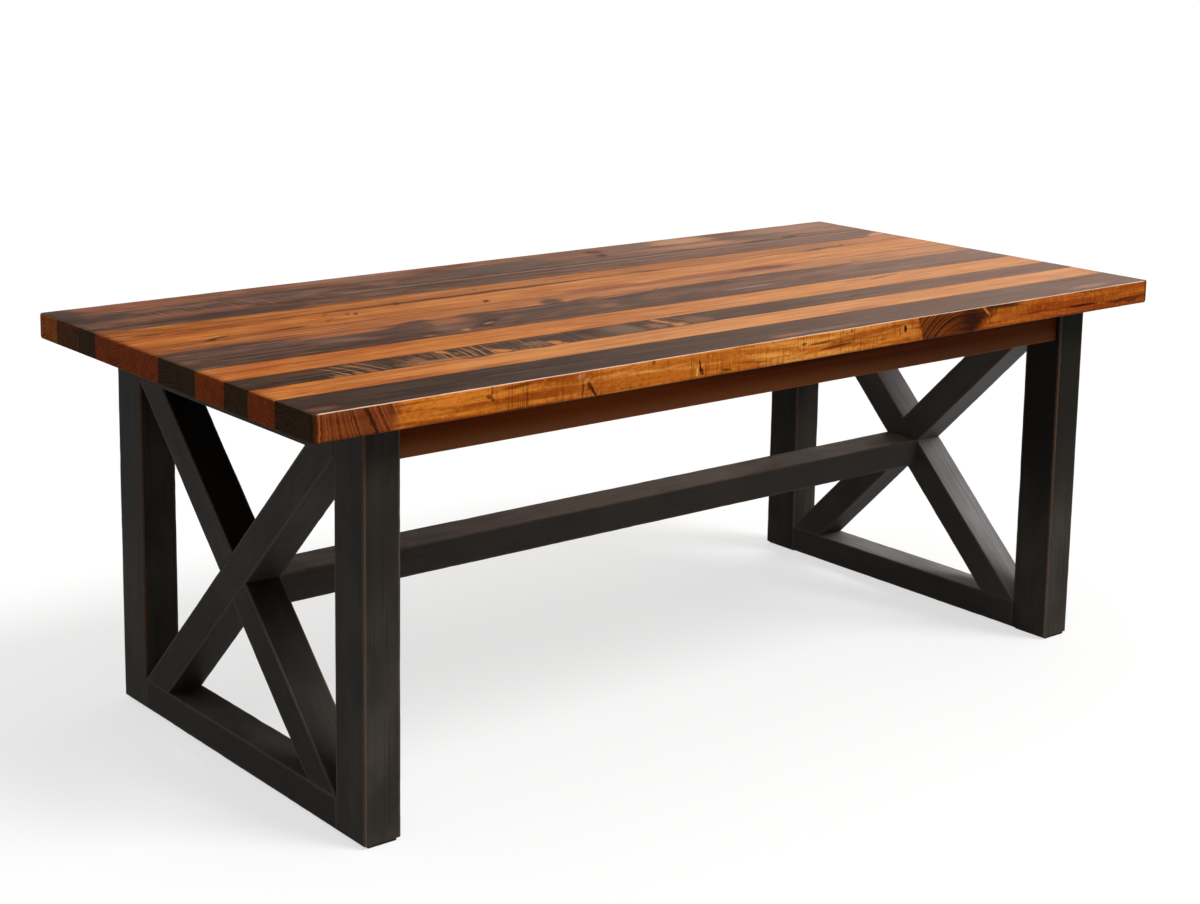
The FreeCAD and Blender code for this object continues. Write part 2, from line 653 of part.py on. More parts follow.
def main():
    doc = FreeCAD.newDocument("sawbuck_table")
    sheet = size_sheet(doc)
    pieces = [top_board(doc, sheet, number) for number in range(1, PLANK_COUNT + 1)]
    pieces.append(board_splines(doc))
    for side_name, side in SIDES:
        pieces += end_frame(doc, side_name, side)
    pieces += [stretcher(doc), cross_rail(doc)]
    pieces += [apron(doc, face_name, face) for face_name, face in FACES]
    pieces += [tabletop_clips(doc, sheet), clip_screws(doc, sheet), cross_rail_screws(doc, sheet)]
    doc.recompute()

    failed = failed_objects(doc)
    if failed:
        raise RuntimeError("not worked out: " + ", ".join(failed))
    for piece in pieces:
        if piece.Shape.isNull() or not piece.Shape.isValid():
            raise RuntimeError(piece.Label + " has no valid solid")
    os.makedirs("parts", exist_ok=True)
    for piece in pieces:
        piece.Shape.exportStep(f"parts/{piece.Label}.step")
    print(len(pieces), "pieces written")


main()
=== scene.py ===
import itertools
import math

import bpy
import numpy as np
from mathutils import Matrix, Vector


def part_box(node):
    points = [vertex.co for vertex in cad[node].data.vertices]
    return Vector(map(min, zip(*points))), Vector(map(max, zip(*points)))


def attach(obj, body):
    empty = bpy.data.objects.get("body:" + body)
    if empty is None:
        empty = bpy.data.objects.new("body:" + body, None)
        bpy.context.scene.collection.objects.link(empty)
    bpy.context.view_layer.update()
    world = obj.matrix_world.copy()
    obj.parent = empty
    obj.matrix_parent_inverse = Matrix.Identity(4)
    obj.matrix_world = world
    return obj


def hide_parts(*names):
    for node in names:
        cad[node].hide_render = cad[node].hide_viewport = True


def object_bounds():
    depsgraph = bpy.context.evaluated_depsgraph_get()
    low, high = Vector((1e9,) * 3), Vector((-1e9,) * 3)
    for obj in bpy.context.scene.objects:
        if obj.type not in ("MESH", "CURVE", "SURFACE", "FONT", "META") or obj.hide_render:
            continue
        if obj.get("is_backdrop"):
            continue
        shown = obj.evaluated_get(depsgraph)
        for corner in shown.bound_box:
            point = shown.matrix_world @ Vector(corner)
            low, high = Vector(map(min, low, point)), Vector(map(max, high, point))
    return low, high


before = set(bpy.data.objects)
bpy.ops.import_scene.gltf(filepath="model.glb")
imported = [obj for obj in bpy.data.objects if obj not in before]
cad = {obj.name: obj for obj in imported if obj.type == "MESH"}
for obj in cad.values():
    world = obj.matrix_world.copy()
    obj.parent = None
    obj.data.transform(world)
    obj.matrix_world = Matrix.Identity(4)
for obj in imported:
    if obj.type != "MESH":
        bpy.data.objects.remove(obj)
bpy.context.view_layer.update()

MM = 0.001


# ---- foot pads
# Four thin pads of dark rubbery felt, one stuck under each leg. The pads are
# cut from sheet, so their faces are dull and slightly fluffed.

class Wire:
    """One value on its way through a finish. + - * on a Wire add a Math node to the same finish."""

    def __init__(self, finish, socket):
        self.finish, self.socket = finish, socket

    def maths(self, operation, first, second):
        return self.finish.node("Math", {"operation": operation}, {0: first, 1: second})

    def __add__(self, other):
        return self.maths("ADD", self, other)

    def __sub__(self, other):
        return self.maths("SUBTRACT", self, other)

    def __rsub__(self, other):
        return self.maths("SUBTRACT", other, self)

    def __mul__(self, other):
        return self.maths("MULTIPLY", self, other)

    __radd__, __rmul__ = __add__, __mul__


def tint(screen_colour):
    """The light that a screen colour, written 0xRRGGBB, stands for: a level c, from 0 to 1, is
    ((c + 0.055) / 1.055) to the power 2.4, or c / 12.92 near black."""
    levels = [level / 255.0 for level in screen_colour.to_bytes(3, "big")]
    return (*[c / 12.92 if c <= 0.04045 else ((c + 0.055) / 1.055) ** 2.4 for c in levels], 1.0)


DRY_GLOSS = 0.02


class Finish:
    """A node tree being filled in: node() adds any node and hands back one of its outputs as a
    Wire. A whole number given as a colour is a screen's."""

    def __init__(self, tree):
        self.tree = tree
        tree.nodes.clear()

    def node(self, kind, settings, inputs, output=0):
        made = self.tree.nodes.new("ShaderNode" + kind)
        for setting, value in settings.items():
            setattr(made, setting, value)
        for name, value in inputs.items():
            socket = made.inputs[name]
            if isinstance(value, Wire):
                self.tree.links.new(value.socket, socket)
            else:
                on_screen = socket.type == "RGBA" and isinstance(value, int)
                socket.default_value = tint(value) if on_screen else value
        return Wire(self, made.outputs[output] if len(made.outputs) else None)

    def place(self):
        """Where a point is on the table, in metres."""
        return self.node("TexCoord", {}, {}, "Object")

    def part(self, vector, axis):
        """One coordinate of a place: "X", "Y" or "Z"."""
        return self.node("SeparateXYZ", {}, {"Vector": vector}, axis)

    def carried(self, label):
        """A value that the pieces carry with them at every vertex."""
        return self.node("Attribute", {"attribute_name": label}, {}, "Fac")

    def vector(self, operation, *parts, output=0):
        """Vector maths on whole places."""
        return self.node("VectorMath", {"operation": operation}, dict(enumerate(parts)), output)

    def turned(self, place, angles):
        """The same places, turned so that the grain runs along x."""
        return self.node("Mapping", {}, {"Vector": place, "Rotation": angles})

    def shifted(self, place, noise, reach):
        """A place led astray by a coloured noise, by up to half the reach along x, y and z."""
        off = self.vector("SUBTRACT", noise, (0.5, 0.5, 0.5))
        return self.vector("MULTIPLY_ADD", off, reach, place)

    def cloud(self, place, per_metre, shift=0.0, detail=2.0, rough=0.5, output=0):
        """Soft noise from 0 to 1; per_metre says how many lumps to the metre along x, y and z."""
        spread = self.node("Mapping", {}, {
            "Vector": place, "Scale": per_metre, "Location": (shift, shift * 1.7, -shift)})
        return self.node("TexNoise", {}, {
            "Vector": spread, "Scale": 1.0, "Detail": detail, "Roughness": rough}, output)

    def stripes(self, along, detail, rough):
        """Noise over one number alone: stripes one unit of it apart, on average."""
        return self.node("TexNoise", {"noise_dimensions": "1D"}, {
            "W": along, "Scale": 1.0, "Detail": detail, "Roughness": rough})

    def rise(self, value, low, high):
        """0 below low, 1 above high, and a smooth step between them (low may be the larger)."""
        return self.node("MapRange", {"interpolation_type": "SMOOTHSTEP"}, {
            "Value": value, "From Min": low, "From Max": high})

    def mix(self, amount, first, second, way="MIX"):
        """Two colours mixed, or multiplied and so on, by an amount from 0 to 1."""
        return self.node("Mix", {"data_type": "RGBA", "blend_type": way}, {0: amount, 6: first, 7: second}, 2)

    def over(self, colour, *layers):
        """A colour with others laid over it in turn, each by its own amount."""
        for amount, layer in layers:
            colour = self.mix(amount, colour, layer)
        return colour

    def surface(self, colour, rough, relief, depth, gloss, dry=None, metal=0.0):
        """Joins the finished colour, roughness and relief up to the material's output. Where dry is
        1 the surface has lost its gloss."""
        bumpy = self.node("Bump", {}, {"Height": relief, "Distance": depth}, "Normal")
        glosses = (gloss,) if dry is None else (gloss, DRY_GLOSS)
        skins = [self.node("BsdfPrincipled", {}, {
            "Base Color": colour, "Roughness": rough, "Normal": bumpy, "Metallic": metal,
            "Specular IOR Level": level}) for level in glosses]
        skin = skins[0] if dry is None else self.node("MixShader", {}, {0: dry, 1: skins[0], 2: skins[1]})
        self.node("OutputMaterial", {}, {"Surface": skin})


def new_finish(name):
    """An empty material with that name, and its Finish."""
    material = bpy.data.materials.new(name)
    material.use_nodes = True
    return material, Finish(material.node_tree)


def dress(node, material):
    """Gives a CAD piece its finish."""
    mesh = cad[node].data
    mesh.materials.clear()
    mesh.materials.append(material)


PAD_FELT, f = new_finish("pad_felt")
spot = f.place()
fluff = f.cloud(spot, (900, 900, 900), detail=3)
patch = f.cloud(spot, (60, 60, 60), 3.0)
f.surface(f.mix(f.rise(fluff * 0.6 + patch * 0.4, 0.35, 0.7), 0x1E1D1B, 0x3E3B36),
          0.78 + fluff * 0.2, fluff, 0.4 * MM, 0.3)

ENDS = ("left", "right")
SIDES = ("front", "back")
for side, end in itertools.product(SIDES, ENDS):
    dress(f"foot_pad_{side}_{end}", PAD_FELT)


# ---- legs
# Four square posts of solid timber, painted black and rubbed through along
# their arrises, so that brown wood shows there in a thin broken line.

def lumps(points, size, seed):
    """Smooth random swelling from 0 to 1: each corner of a lattice with cells of that size has a
    value from a whole-number hash of its place, and a point mixes the eight round it, by
    3f^2 - 2f^3 along each axis."""
    cell = points / np.asarray(size) + 512.0
    base = np.floor(cell).astype(np.int64)
    part = cell - base
    part = part * part * (3.0 - 2.0 * part)
    total = np.zeros(points.shape[:-1])
    for corner in itertools.product((0, 1), repeat=3):
        key = (base + corner) @ np.array([73856093, 19349663, 83492791]) + seed * 7919
        key = ((key ^ (key >> 13)) * 1274126177) & 0xFFFFFFFF
        key = ((key ^ (key >> 16)) * 2246822519) & 0xFFFFFFFF
        weight = np.prod(np.where(corner, part, 1.0 - part), axis=-1)
        total += weight * ((key ^ (key >> 15)) & 0xFFFFFFFF) / 0xFFFFFFFF
    return total


def steps_from_edges(length, cell, near):
    """Fractions of a length: a few close steps at each end, where it wears, and even cells between."""
    near = np.array([step for step in near if step < length / 2.5])
    first = near[-1] if len(near) else 0.0
    even = np.linspace(first, length - first, max(2, int(round((length - 2 * first) / cell)) + 1))
    return np.unique(np.concatenate([near, even, length - near]).round(7)) / length


def nosing(inward, radius):
    """How far a face draws in at a distance a from the end: a quarter circle, r - sqrt(r^2 - (r - a)^2)."""
    over = np.clip(radius - inward, 0.0, radius)
    return radius - np.sqrt(np.maximum(radius * radius - over * over, 0.0))


def stand(name, data, place=(0, 0, 0), turn=(0, 0, 0)):
    """Puts an object in the scene at a place, turned by angles in degrees."""
    thing = bpy.data.objects.new(name, data)
    thing.location = place
    thing.rotation_euler = [math.radians(angle) for angle in turn]
    bpy.context.scene.collection.objects.link(thing)
    return thing


TURNS = 4  # steps round each rounded corner
NEAR = (1.5 * MM, 4 * MM, 9 * MM)  # rows of points beside each arris
SIDE_CELL = 9 * MM
CAP_RINGS = (0.97, 0.88, 0.6, 0.3)  # rings that close an end, as shares of its section
LEAN_FREE, LEAN_EASE = 60 * MM, 200 * MM
SMOOTH_ANGLE = 38


class Timber:
    """A sawn timber as a surface of two parameters: t along it, in stations, and one round its
    section, a rectangle of u and v with quarter circles for corners. Its centre is middle, along
    and across are unit vectors, and half holds half the length, width and depth. arris gives the
    radii of the four long corners, from (-u -v) round to (-u +v), and nose the radii that round
    the faces (-u, +u, -v, +v) off at the ends."""

    def __init__(self, middle, along, across, half, arris, nose=(0, 0, 0, 0), cell=7 * MM, breaks=()):
        self.middle, self.along, self.across = (np.array(v, float) for v in (middle, along, across))
        self.third = np.cross(self.along, self.across)
        self.half = half
        reach = max(max(nose), 1e-4)
        bend = reach * (1.0 - np.cos(np.linspace(0, math.pi / 2, 6)))
        t = -half[0] + 2 * half[0] * steps_from_edges(2 * half[0], cell, tuple(bend[1:]) + (reach * 2,))
        t = np.unique(np.concatenate([t, [-half[0], half[0]], breaks]))
        if len(breaks):
            clear = np.min(np.abs(t[:, None] - np.array(breaks)), axis=1)
            t = t[(clear < 1e-9) | (clear > 1.5 * MM)]
        self.t = t
        inward = half[0] - np.abs(t)
        self.u_lo = -half[1] + nosing(inward, nose[0])
        self.u_hi = half[1] - nosing(inward, nose[1])
        self.v_lo = -half[2] + nosing(inward, nose[2])
        self.v_hi = half[2] - nosing(inward, nose[3])
        self.radii = np.tile(np.array(arris, float), (len(t), 1))
        self.sides = [steps_from_edges(2 * half[1 + k % 2], SIDE_CELL, NEAR) for k in range(4)]
        self.lean = 0.0

    def section(self):
        """The stations' sections. A corner is its centre plus radius times the unit normal, over a
        quarter turn, and a side runs straight from one corner's last point to the next's first."""
        r = self.radii.T
        centres = [(self.u_lo + r[0], self.v_lo + r[0]), (self.u_hi - r[1], self.v_lo + r[1]),
                   (self.u_hi - r[2], self.v_hi - r[2]), (self.u_lo + r[3], self.v_hi - r[3])]
        arcs, normals = [], []
        for k, centre in enumerate(centres):
            angle = math.pi * (1.0 + k / 2.0) + np.linspace(0, math.pi / 2, TURNS + 1)
            normals.append(np.stack([np.cos(angle), np.sin(angle)], axis=-1))
            arcs.append(np.stack(centre, axis=-1)[:, None] + r[k][:, None, None] * normals[k])
        points, facing, close = [], [], []
        for k in range(4):
            part = self.sides[k][1:-1]
            start = arcs[k][:, -1:]
            run = arcs[(k + 1) % 4][:, :1] - start
            points += [arcs[k], start + run * part[:, None]]
            facing += [normals[k], np.repeat(normals[k][-1:], len(part), axis=0)]
            close += [np.zeros(TURNS + 1), np.minimum(part, 1.0 - part) * 2 * self.half[1 + k % 2]]
        return np.concatenate(points, 1), np.concatenate(facing), np.concatenate(close)

    def build(self, name, weather):
        """Puts the sections in place, closes the ends with rings that shrink to a pole, and lets
        weather(place, normal, distance to the arris) move each point inwards."""
        flat, facing, off = self.section()
        count, around = flat.shape[:2]
        rings = [(0, share, 0) for share in CAP_RINGS[::-1]] + [(k, 1.0, 1) for k in range(count)]
        rings += [(count - 1, share, 0) for share in CAP_RINGS]
        index, shrink, is_side = (np.array(column) for column in zip(*rings))
        is_side = is_side[:, None] == 1
        centre = flat.mean(axis=1, keepdims=True)[index]
        spread = flat[index] - centre
        uv = centre + spread * shrink[:, None, None]
        station = self.t[index][:, None]
        mixing = np.clip((np.abs(station) - LEAN_FREE) / LEAN_EASE, 0.0, 1.0)
        t = station + self.lean * uv[..., 1] * mixing * mixing * (3 - 2 * mixing)
        place = self.middle + t[..., None] * self.along
        place = place + uv[..., :1] * self.across + uv[..., 1:] * self.third
        side = facing[:, :1] * self.across + facing[:, 1:] * self.third
        normal = np.where(is_side[..., None], side, np.sign(station)[..., None] * self.along)
        rim = np.linalg.norm((1.0 - shrink)[:, None, None] * spread, axis=-1)
        far = np.where(is_side, np.minimum(off, self.half[0] - np.abs(station)), rim)
        push, rub = weather(place, normal, far)
        place = place - normal * push[..., None]
        vertices = np.concatenate([place.reshape(-1, 3), place[[0, -1]].mean(axis=1)])
        total = len(rings) * around
        a = np.arange(total - around)
        b = a - a % around + (a % around + 1) % around
        quads = np.stack([a, b, b + around, a + around], axis=-1)
        first = np.arange(around)
        second = (first + 1) % around
        last = total - around
        start = np.stack([np.full(around, total), second, first], axis=-1)
        finish = np.stack([np.full(around, total + 1), last + first, last + second], axis=-1)
        mesh = bpy.data.meshes.new(name)
        mesh.from_pydata(vertices.tolist(), [], quads.tolist() + start.tolist() + finish.tolist())
        for label, values in (("rub", rub), ("upward", np.broadcast_to(normal[..., 2], rub.shape))):
            layer = mesh.attributes.new(label, "FLOAT", "POINT")
            layer.data.foreach_set("value", np.concatenate([values.ravel(), [0.0, 0.0]]).astype(np.float32))
        mesh.shade_smooth()
        mesh.set_sharp_from_angle(angle=math.radians(SMOOTH_ANGLE))
        return stand(name, mesh)


def painted_wear(seed):
    """Painted timber's wear: faces ripple by a quarter of a millimetre, and the arrises are knocked
    back further in patches. The rub attribute is 1 on an arris and falls as exp(-distance / 3.5 mm)."""
    def weather(place, normal, far):
        arris = np.exp(-far / (2.2 * MM))
        knocks = lumps(place, 16 * MM, seed + 1) * lumps(place, 70 * MM, seed + 2)
        push = 0.25 * MM * lumps(place, 55 * MM, seed) + 0.7 * MM * arris * np.clip(knocks * 1.6 - 0.2, 0, 1)
        return push, np.exp(-far / (3.5 * MM))
    return weather


def black_paint(name, angles, seed, wear=0.0, dust_and_sheen_tone=0x8E8C8E, dust_and_sheen_amounts=(0.1, 1.25, 0.0),
                painted_shade_heights=(0.15, 0.5), lift=0.0):
    """Black paint over brown wood: brushed along the grain, cloudy and thinned in places, greyed by a dusting
    and by a painted sheen where it faces up, dulled along the arrises with a painted highlight there too, and
    worn down to red-brown and golden wood along the arrises. dusty is that grey everywhere, what the
    right-hand end adds to it and what the middle adds. darker holds the heights between which the paint
    darkens with painted shade (falling on the pieces inside the end frames, where the inward faces at the
    right end get painted light, the downward faces high at the right a painted reflection of the floor and
    the upward faces high at the left a painted shadow, and lift makes those paler)."""
    material, f = new_finish(f"black_paint_{name}")
    spot = f.place()
    x, height = f.part(spot, "X"), f.part(spot, "Z")
    arris, upward = f.carried("rub"), f.carried("upward")
    place = f.turned(spot, angles)
    grain = f.cloud(place, (5, 210, 210), seed, 4, 0.6)
    brush = f.cloud(place, (9, 620, 620), seed + 5)
    mist = f.cloud(place, (7, 14, 14), seed + 9, 3)
    drift = f.cloud(place, (9, 30, 30), seed + 13, 3, 0.6)
    flecks = f.cloud(place, (70, 420, 420), seed + 17, 3, 0.65)
    to_right = f.rise(x, -0.7, 0.5)
    colour = f.mix(f.rise(mist, 0.3, 0.75), 0x34302C, 0x48433D)
    colour = f.mix(f.rise(grain, 0.52, 0.74) * 0.5, colour, 0x221F1B)
    # Painted shade: between these heights the paint darkens. On the legs it darkens upwards, most at the
    # right end, where the top's shadow falls. On the pieces inside the end frames it darkens downwards, at
    # the left end.
    painted_shade = f.rise(height, *painted_shade_heights)
    if painted_shade_heights[0] < painted_shade_heights[1]:
        colour = f.mix(painted_shade * (0.35 + to_right * 0.6), colour, 0x1E1B17)
    else:
        # Painted light: short of x = 0.82 m the paint turns paler towards the right end, on the right frame's
        # inward faces and the stretcher's right part.
        painted_light_inward = f.rise(x, 0.86, 0.82) * to_right
        # Painted reflection of the floor: downward faces high up at the right turn light grey.
        below = f.rise(upward, -0.5, -0.68) * f.rise(height, 0.2, 0.62) * to_right
        # Painted shadow: upward faces high up at the left, under the top, turn near black.
        painted_shadow = f.rise(upward, 0.4, 0.65) * f.rise(height, 0.18, 0.44) * (1.0 - to_right)
        colour = f.over(
            colour, (painted_shade * (0.5 - to_right * 0.5), 0x22201E), (painted_light_inward * 0.35 + lift, 0x5C5854),
            (below * 0.6, 0x96949A), (painted_shadow * 0.85, 0x0C0A08))
    # Dust and painted sheen: upward faces turn grey, by amounts set for the whole table, its right end and
    # its middle.
    middle = f.rise(x, -0.5, 0.0) * f.rise(x, 0.5, 0.0)
    dust_and_sheen_share = dust_and_sheen_amounts[0] + to_right * dust_and_sheen_amounts[1] + middle * dust_and_sheen_amounts[2]
    dust_and_sheen = f.rise(upward, 0.45, 0.7) * (0.3 + f.rise(mist * 0.5 + grain * 0.5, 0.35, 0.65) * 0.3) * dust_and_sheen_share
    # The pale line along the arrises is dulled, worn paint and a painted highlight.
    dull_and_highlight = f.rise(arris + (flecks - 0.5) * 0.5, 0.55, 0.85)
    bare = f.rise(arris * 0.75 + drift * 0.62 + flecks * 0.36 + wear, 1.33, 1.45)
    deep = f.rise(arris * 0.7 + drift * 0.7 + flecks * 0.4 + wear, 1.44, 1.56)
    specks = f.rise(f.cloud(place, (160, 420, 420), seed + 21, 1), 0.79, 0.83)
    specks *= f.rise(drift, 0.5, 0.7)
    colour = f.over(
        colour, (dust_and_sheen, dust_and_sheen_tone), (dull_and_highlight * 0.5, 0x6C5C52), (bare * 0.85, 0x623E2C),
        (deep * 0.8, 0x8A6042), (specks * 0.6, 0x785842))
    rough = 0.4 + mist * 0.16 + grain * 0.08 + bare * 0.12
    f.surface(colour, rough, grain * 0.5 + brush * 0.3 - bare * 0.5, 0.35 * MM, 0.03)
    return material


def middle_and_half(low, high):
    return (low + high) / 2, (high - low) / 2


def add_timber(name, timber, weather, material):
    """Makes a timber's piece, which no joint carries, and gives it its finish."""
    piece = timber.build(name, weather)
    piece.data.materials.append(material)
    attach(piece, "root")
    return piece


QUARTER = math.pi / 2
# Painted shade darkens the legs' paint high up, most at the right end, where the top's shadow falls.
PAINT_UPRIGHT = {"front": black_paint("front_legs", (0, QUARTER, 0), 2.0, wear=0.12),
                 "back": black_paint("back_legs", (0, QUARTER, 0), 3.0, wear=0.14)}
LEG_ARRIS, FOOT_EASING = (3 * MM,) * 4, (2 * MM,) * 4
HOUSED_ARRIS = 0.3 * MM
for number, (side, end) in enumerate(itertools.product(SIDES, ENDS)):
    node = f"leg_{side}_{end}"
    centre, half = middle_and_half(*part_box(node))
    post = Timber(centre, (0, 0, 1), (1, 0, 0), half.zxy, LEG_ARRIS, FOOT_EASING)
    height = centre.z + post.t
    at_rail = (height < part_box(f"bottom_rail_{end}")[1].z) | (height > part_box(f"top_rail_{end}")[0].z)
    for corner in ((2, 3) if side == "front" else (0, 1)):
        post.radii[at_rail, corner] = HOUSED_ARRIS
    leg = add_timber(f"post_{side}_{end}", post, painted_wear(11 + number), PAINT_UPRIGHT[side])
    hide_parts(node)


# ---- end rails
# Each end frame has a rail on the floor between its legs and another under the
# top, tenoned into the legs. They carry the same rubbed black paint.

PAINT_CROSSWISE = black_paint("crosswise", (0, 0, QUARTER), 4.0, painted_shade_heights=(0.4, 0.15))
MEMBER_ARRIS = (2 * MM,) * 4

for number, end in enumerate(ENDS):
    node = f"bottom_rail_{end}"
    low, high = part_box(node)
    low.y, high.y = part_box(f"leg_front_{end}")[1].y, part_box(f"leg_back_{end}")[0].y
    centre, half = middle_and_half(low, high)
    bar = Timber(centre, (0, 1, 0), (1, 0, 0), half.yxz, MEMBER_ARRIS)
    rail = add_timber(f"floor_rail_{end}", bar, painted_wear(21 + number), PAINT_CROSSWISE)
    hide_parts(node)
    dress(f"top_rail_{end}", PAINT_CROSSWISE)


# ---- braces
# Two arms cross in each end frame, corner to corner, and are half-lapped where
# they meet, so both faces are flush. The arm that rises to the front keeps its
# outer half at the crossing and the arm that rises to the back its inner half.

ARM_WIDTH = 63.5 * MM
HAIR = 0.05 * MM
LAP_ARRIS = 0.2 * MM


def brace(side, end, seed, paint):
    """An arm runs along the diagonal, whose slope is atan(height / (width - arm width / sin slope)),
    found by repeating. Its ends lie flat on the rails, by adding the lean times the section's own
    height to t, and at the crossing half its depth is left out between stations a hair apart."""
    rail_top, rail_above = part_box(f"bottom_rail_{end}")[1].z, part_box(f"top_rail_{end}")[0].z
    legs_low, legs_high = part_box(f"leg_front_{end}")
    front, back = legs_high.y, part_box(f"leg_back_{end}")[0].y
    tall = rail_above - rail_top
    slope = math.radians(45.0)
    for _ in range(20):
        slope = math.atan2(tall, (back - front) - ARM_WIDTH / math.sin(slope))
    along = (0, (-1.0 if side == "front" else 1.0) * math.cos(slope), math.sin(slope))
    centre = ((legs_low.x + legs_high.x) / 2, (front + back) / 2, (rail_top + rail_above) / 2)
    half = (tall / math.sin(slope) / 2, (legs_high.x - legs_low.x) / 2, ARM_WIDTH / 2)
    notch = ARM_WIDTH / 2
    lap = [-notch - HAIR, -notch, notch, notch + HAIR]
    arm = Timber(centre, along, (1, 0, 0), half, MEMBER_ARRIS, breaks=lap)
    arm.lean = (math.cos(slope) / math.sin(slope)) * (1.0 if arm.third[2] < 0 else -1.0)
    inside = np.abs(arm.t) <= notch + 1e-9
    keeps_left_half = (side == "front") == (end == "left")
    (arm.u_hi if keeps_left_half else arm.u_lo)[inside] = 0.0
    for corner in ((1, 2) if keeps_left_half else (0, 3)):
        arm.radii[inside, corner] = LAP_ARRIS
    piece = add_timber(f"arm_to_{side}_{end}", arm, painted_wear(seed), paint)
    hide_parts(f"brace_up_{side}_{end}")


# The arms' upward faces grey with dust and painted sheen, more towards the right end.
PAINT_TO_FRONT = black_paint("to_front", (QUARTER / 2, 0, QUARTER), 6.0, painted_shade_heights=(0.4, 0.25))
PAINT_TO_BACK = black_paint("to_back", (-QUARTER / 2, 0, QUARTER), 8.0,
                            dust_and_sheen_amounts=(0.0, 1.5, 0.0), painted_shade_heights=(0.4, 0.25))
for number, end in enumerate(ENDS):
    brace("front", end, 31 + number, PAINT_TO_FRONT)
    brace("back", end, 41 + number, PAINT_TO_BACK)


# ---- stretcher
# One long bar joins the two crossings and stops the end frames from racking.
# Its top is the palest face of the frame, greyed by dust and by a painted sheen.

# The near-white grey on the stretcher's top is dust and painted sheen; lift pales it all over.
PAINT_LENGTHWISE = black_paint("lengthwise", (0, 0, 0), 10.0, 0.03, 0xD4D4D5,
                               dust_and_sheen_amounts=(1.5, 0.0, 0.9), painted_shade_heights=(0.0, -0.2), lift=0.22)
low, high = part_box("stretcher")
low.x, high.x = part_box("leg_front_left")[1].x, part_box("leg_front_right")[0].x
centre, half = middle_and_half(low, high)
bar = Timber(centre, (1, 0, 0), (0, 1, 0), half, MEMBER_ARRIS)
stretcher = add_timber("long_stretcher", bar, painted_wear(51), PAINT_LENGTHWISE)
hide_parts("stretcher")


# ---- aprons
# A board on edge under each long side of the top, and a rail across the middle.
# They are stained dark brown and varnished like the top.

def stained_wood(name, angles, seed):
    """Brown stain on plain wood: streaky along the grain and redder on the lower arris, with painted light
    over its lower part, so that the upper part keeps a painted shade from the top.
    """
    material, f = new_finish(name)
    place = f.place()
    run = f.turned(place, angles)
    sway = f.cloud(run, (1.5, 12, 12), seed)
    bands = f.cloud(run, (1.3, 38, 38), seed + 3, 4, 0.6)
    fibre = f.cloud(run, (12, 700, 700), seed + 7)
    figure = f.rise(bands * 0.6 + sway * 0.25 + fibre * 0.15, 0.32, 0.68)
    x, height = f.part(place, "X"), f.part(place, "Z")
    # Painted shade: the apron stays dark up under the top and is painted paler over its lower part.
    painted_lower_light = f.rise(height + bands * 16 * MM, 688 * MM, 656 * MM)
    worn = f.rise(height + bands * 1.5 * MM, 649.5 * MM, 646 * MM)
    colour = f.over(
        f.mix(figure, 0x441B08, 0x7A3811), (f.rise(fibre, 0.55, 0.8) * 0.35, 0x2C1409),
        (painted_lower_light * 0.65, 0x965E3A), (f.rise(x + sway * 0.3, 0.1, 0.75) * 0.4, 0x341604),
        (worn * 0.7, 0x9E5224))
    f.surface(colour, 0.4 + fibre * 0.12 + sway * 0.1, fibre * 0.4 + bands * 0.6, 0.3 * MM, 0.02)
    return material


APRON_STAIN = stained_wood("apron_stain", (0, 0, 0), 1.0)
for node in ("apron_front", "apron_back"):
    dress(node, APRON_STAIN)
dress("cross_rail", stained_wood("cross_rail_stain", (0, 0, QUARTER), 5.0))


# ---- top boards
# Eleven reclaimed boards of different woods and tones, glued edge to edge with
# splines between them, planed together and given a satin varnish. The ends are
# dark dry end grain, and the front board's edge is left amber.

BOARDS = 11
TOP_ARRIS = 3.5 * MM
UNDERSIDE_ARRIS = 5 * MM
CORNER_ROUND = 6 * MM
SEAM = 0.15 * MM
VARNISH_GLOSS = 0.12
top_low, top_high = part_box("top_board_01")[0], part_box(f"top_board_{BOARDS}")[1]
FRONT, END, UNDERSIDE, TOP_FACE = top_low.y, top_high.x, top_low.z, top_high.z
TOP_MIDDLE = (UNDERSIDE + TOP_FACE) / 2
THROUGH = 10.0  # a mark's reach into the wood, in metres: right through
SAW_FADE = 8  # half of the mm over which a patch of saw marks begins or ends
RINGS_X, RINGS_Z = 448 * MM, 632 * MM


def planed_wear(place, normal, far):
    """The planed top's wear: one slow ripple runs through all the boards, so that they stay flush,
    and only the outer arrises are rubbed back. A place's distance from those is the middle one of
    its distances from the top's end, side and nearer face."""
    inward = np.minimum(place - np.array(top_low), np.array(top_high) - place)
    rim = np.clip(np.sort(inward, axis=-1)[..., 1], 0, 1)
    knocks = lumps(place, 22 * MM, 72) * lumps(place, 90 * MM, 73)
    push = 0.22 * MM * lumps(place, (0.16, 0.045, 0.2), 71)
    push += 1.1 * MM * np.exp(-rim / (3 * MM)) * np.clip(knocks * 1.8 - 0.25, 0, 1)
    seam_side = (np.abs(normal[..., 1]) > 0.9) & (inward[..., 1] > 1 * MM)
    return np.where(seam_side, 0.0, push), np.exp(-rim / (3.5 * MM))


def top_mark(x, y, long, wide, colour, strength, soft=0.9, turn=0.0):
    """A stain or smear on the top: its middle, half length and half width in mm, its colour, how
    strongly it shows, how softly its rim fades and its turn in degrees."""
    angles = (0, 0, math.radians(turn))
    return (x * MM, y * MM, TOP_MIDDLE), (long * MM, wide * MM, THROUGH), angles, colour, strength, soft


